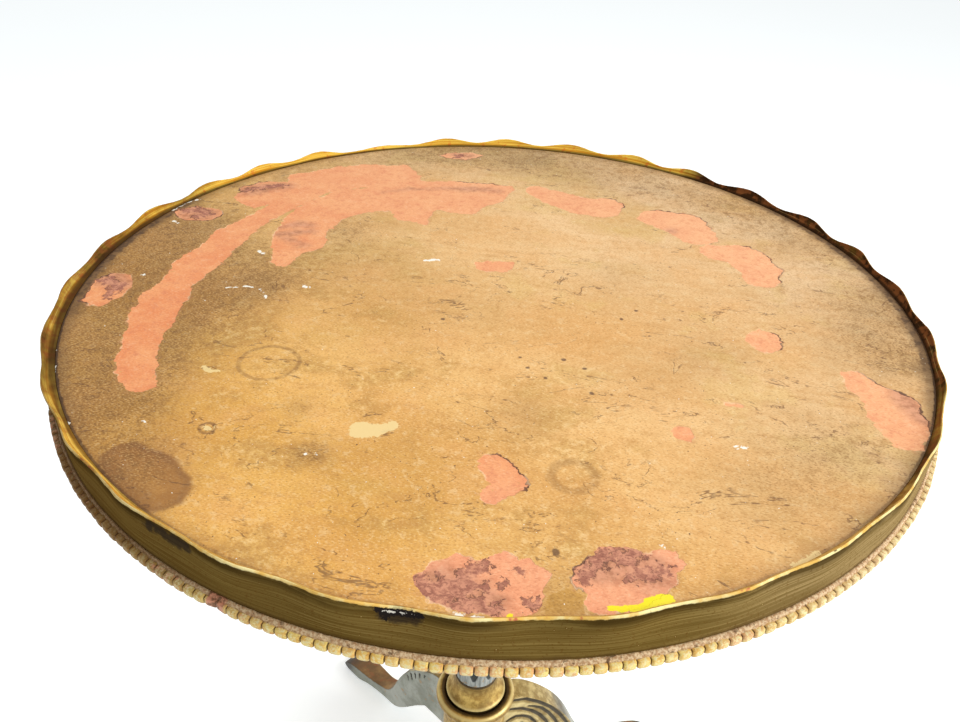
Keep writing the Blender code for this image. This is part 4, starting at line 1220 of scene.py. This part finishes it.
def make_legs(material):
    shape = leg_shape()
    carve_leg(shape)
    for index, azimuth in enumerate(LEG_AZIMUTHS, 1):
        mesh = shape.copy()
        mesh.name = f"scroll_leg_{index}"
        mesh.transform(Matrix.Rotation(math.radians(azimuth), 4, "Z"))
        place_piece(mesh.name, mesh, material, "carving", f"leg_{index}")
    bpy.data.meshes.remove(shape)


def leg_material():
    """Antique gold on the carved side and back, thin grey-green wash on the plain side, with
    painted highlights on the carved ridges and painted shade beside them and on the toe.
    """
    g = Graph("gilt_and_grey_carving", metallic=0.2)
    lump = g.noise(5, 81, 4, 0.6)
    broad = g.noise(20, 82, 4, 0.6)
    fine = g.noise(1, 83)
    carved, top_face, reach, ridge = (g.field(v) for v in ("carved", "top_face", "reach", "ridge"))
    wash = g.coats(g.fade(broad, 0.38, 0.62, (186, 188, 176), (150, 153, 138)),
                   (fine, 0.56, 0.72, 0.5, 112, 106, 86), (lump, 0.62, 0.68, 0.7, 190, 150, 100))
    gold = g.coats(g.fade(lump, 0.36, 0.62, (226, 200, 130), (176, 148, 84)),
                   (broad, 0.52, 0.66, 0.6, 140, 104, 52), (fine, 0.58, 0.72, 0.6, 110, 80, 40))
    back = g.coats(g.fade(broad, 0.36, 0.6, (196, 152, 92), (138, 102, 60)),
                   (lump, 0.52, 0.64, 0.6, 180, 112, 72))
    back = g.mix(g.step(reach, 146, 118), back, gold)
    groove = g.step(g.field("groove"), 0.08, 0.6)
    arris = g.times(g.step(top_face, 0.95, 0.55), g.step(top_face, 0.02, 0.25))
    arris = g.times(arris, g.flip(carved))
    # painted shade on the carved ribs' shoulders, beside each groove
    shoulder = g.times(g.times(g.flip(ridge), carved), g.times(g.flip(groove), 0.45))
    # painted shade on the toe's end
    toe = g.step(g.rough(reach, broad, 30.0), 226, 244)
    colour = g.coats(
        g.mix(top_face, g.mix(carved, wash, gold), back),
        (g.times(groove, 0.94), 44, 34, 18), (g.times(arris, 0.6), 74, 70, 60),
        # painted shade on the shoulders, and a painted highlight on each ridge's crest
        (shoulder, 118, 96, 48), (g.times(g.times(ridge, carved), 0.42), 255, 236, 172),
        (g.times(toe, 0.85), 70, 64, 56))
    return g.finish(colour, g.step(lump, 0.3, 0.7, 0.42, 0.64),
                    g.total((lump, 0.5), (fine, 0.5)), 0.4, 0.6)


# ---------------- plain materials for CAD nodes
def wood_material():
    """Bare softwood, brown with age, its grain running along the battens."""
    g = Graph("bare_old_wood")
    grain = g.noise(1.6, 91, 5, 0.6, 0.4, squeeze=(1, 0.05, 1))
    wood = g.coats(g.fade(grain, 0.36, 0.64, (206, 164, 112), (150, 108, 66)),
                   (g.noise(30, 92), 0.44, 0.66, 0.5, 116, 82, 50))
    return g.finish(wood, g.step(grain, 0.3, 0.7, 0.66, 0.82), grain, 0.3, 0.5)


def steel_material():
    """Old steel, dull, with brown rust in patches."""
    g = Graph("old_steel", metallic=0.9)
    lump = g.noise(3, 95, 5, 0.65)
    steel = g.fade(lump, 0.48, 0.6, (170, 166, 158), (104, 74, 52))
    return g.finish(steel, g.step(lump, 0.35, 0.65, 0.38, 0.75), lump, 0.2, 0.5)


def felt_material():
    """Dark felt, with fibres."""
    g = Graph("dark_felt")
    fibre = g.noise(0.5, 97, 4, 0.7, 1.0)
    felt = g.fade(fibre, 0.35, 0.65, (98, 90, 80), (56, 52, 46))
    g.feed(g.shader, {"Sheen Weight": 0.3})
    return g.finish(felt, g.step(fibre, 0.3, 0.7, 0.88, 0.98), fibre, 0.4, 0.8)


def dress_cad_nodes(finishes):
    """Give the CAD nodes that stay a finish."""
    for name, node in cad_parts.items():
        if node.hide_render:
            continue
        if "screw" in name or name == "leg_plate":
            material = finishes["steel"]
        elif name.startswith("foot_pad"):
            material = finishes["felt"]
        elif name == "leg_hub":
            material = finishes["gilt"]
        else:
            material = finishes["wood"]
        for item in node.material_slots:
            item.material = material


# ---------------- camera, floor and light
def make_camera():
    place = Vector((0.0764, -0.6703, 1.1204))
    ahead = Vector((-0.1091, 0.8228, -0.5577)).normalized()
    tilt = math.radians(2.56)
    right = ahead.cross(Vector((0, 0, 1))).normalized()
    up = right.cross(ahead)
    side = right * math.cos(tilt) + up * math.sin(tilt)
    top = up * math.cos(tilt) - right * math.sin(tilt)
    camera = bpy.data.cameras.new("camera")
    camera.lens = 33.3
    camera.sensor_width = 36.0
    camera.clip_end = 200.0
    obj = bpy.data.objects.new("camera", camera)
    turn = Matrix((side, top, -ahead)).transposed().to_4x4()
    obj.matrix_world = Matrix.Translation(place) @ turn
    bpy.context.scene.collection.objects.link(obj)
    bpy.context.scene.camera = obj


def make_floor():
    bm = bmesh.new()
    bmesh.ops.create_grid(bm, x_segments=8, y_segments=8, size=60.0)
    mesh = bpy.data.meshes.new("floor")
    bm.to_mesh(mesh)
    bm.free()
    floor = bpy.data.objects.new("floor", mesh)
    bpy.context.scene.collection.objects.link(floor)
    g = Graph("pale_floor", specular=0.0)
    pale = g.mix(g.noise(400, 99, 2), (0.86, 0.885, 0.89, 1), (0.88, 0.9, 0.905, 1))
    g.feed(g.shader, {"Emission Color": (0.97, 1.0, 1.0, 1.0), "Emission Strength": 0.42})
    mesh.materials.append(g.finish(pale, 0.9))


def make_light(name, place, width, height, power):
    """A soft light aimed at the board."""
    light = bpy.data.lights.new(name, "AREA")
    light.shape = "RECTANGLE"
    light.size = width
    light.size_y = height
    light.energy = power
    obj = bpy.data.objects.new(name, light)
    obj.location = place
    obj.rotation_mode = "QUATERNION"
    obj.rotation_quaternion = (Vector(LIGHTS_AIM) - Vector(place)).to_track_quat("-Z", "Y")
    bpy.context.scene.collection.objects.link(obj)


def make_studio():
    world = bpy.data.worlds.new("studio")
    world.use_nodes = True
    sky = world.node_tree.nodes["Background"]
    sky.inputs["Color"].default_value = (0.97, 0.99, 1.0, 1.0)
    sky.inputs["Strength"].default_value = 0.55
    bpy.context.scene.world = world
    make_light("window", (2.6, -0.6, 1.95), 1.8, 1.6, 75)
    make_light("overhead", (0.2, 0.3, 3.25), 2.4, 2.4, 40)
    bpy.context.scene.view_settings.view_transform = "Standard"


# ---------------- build
gold_turning = turning_material()
make_board(board_material())
make_wall(wall_material())
make_beads(bead_material())
make_turning("gilt_collar", collar_profile(), gold_turning, "flared_collar", 1,
             dark=collar_shade, lit=collar_shine)
make_turning("gilt_ring", ring_profile(), gold_turning, "column_ring", 2,
             dark=ring_shade, lit=ring_shine)
make_turning("gilt_capital", capital_profile(), gold_turning, "column_capital", 3)
make_turning("gilt_drop", finial_profile(), gold_turning, "drop_finial", 4)
make_shaft(shaft_material())
make_legs(leg_material())
dress_cad_nodes({"wood": wood_material(), "steel": steel_material(), "felt": felt_material(),
                 "gilt": gold_turning})
make_camera()
make_floor()
make_studio()
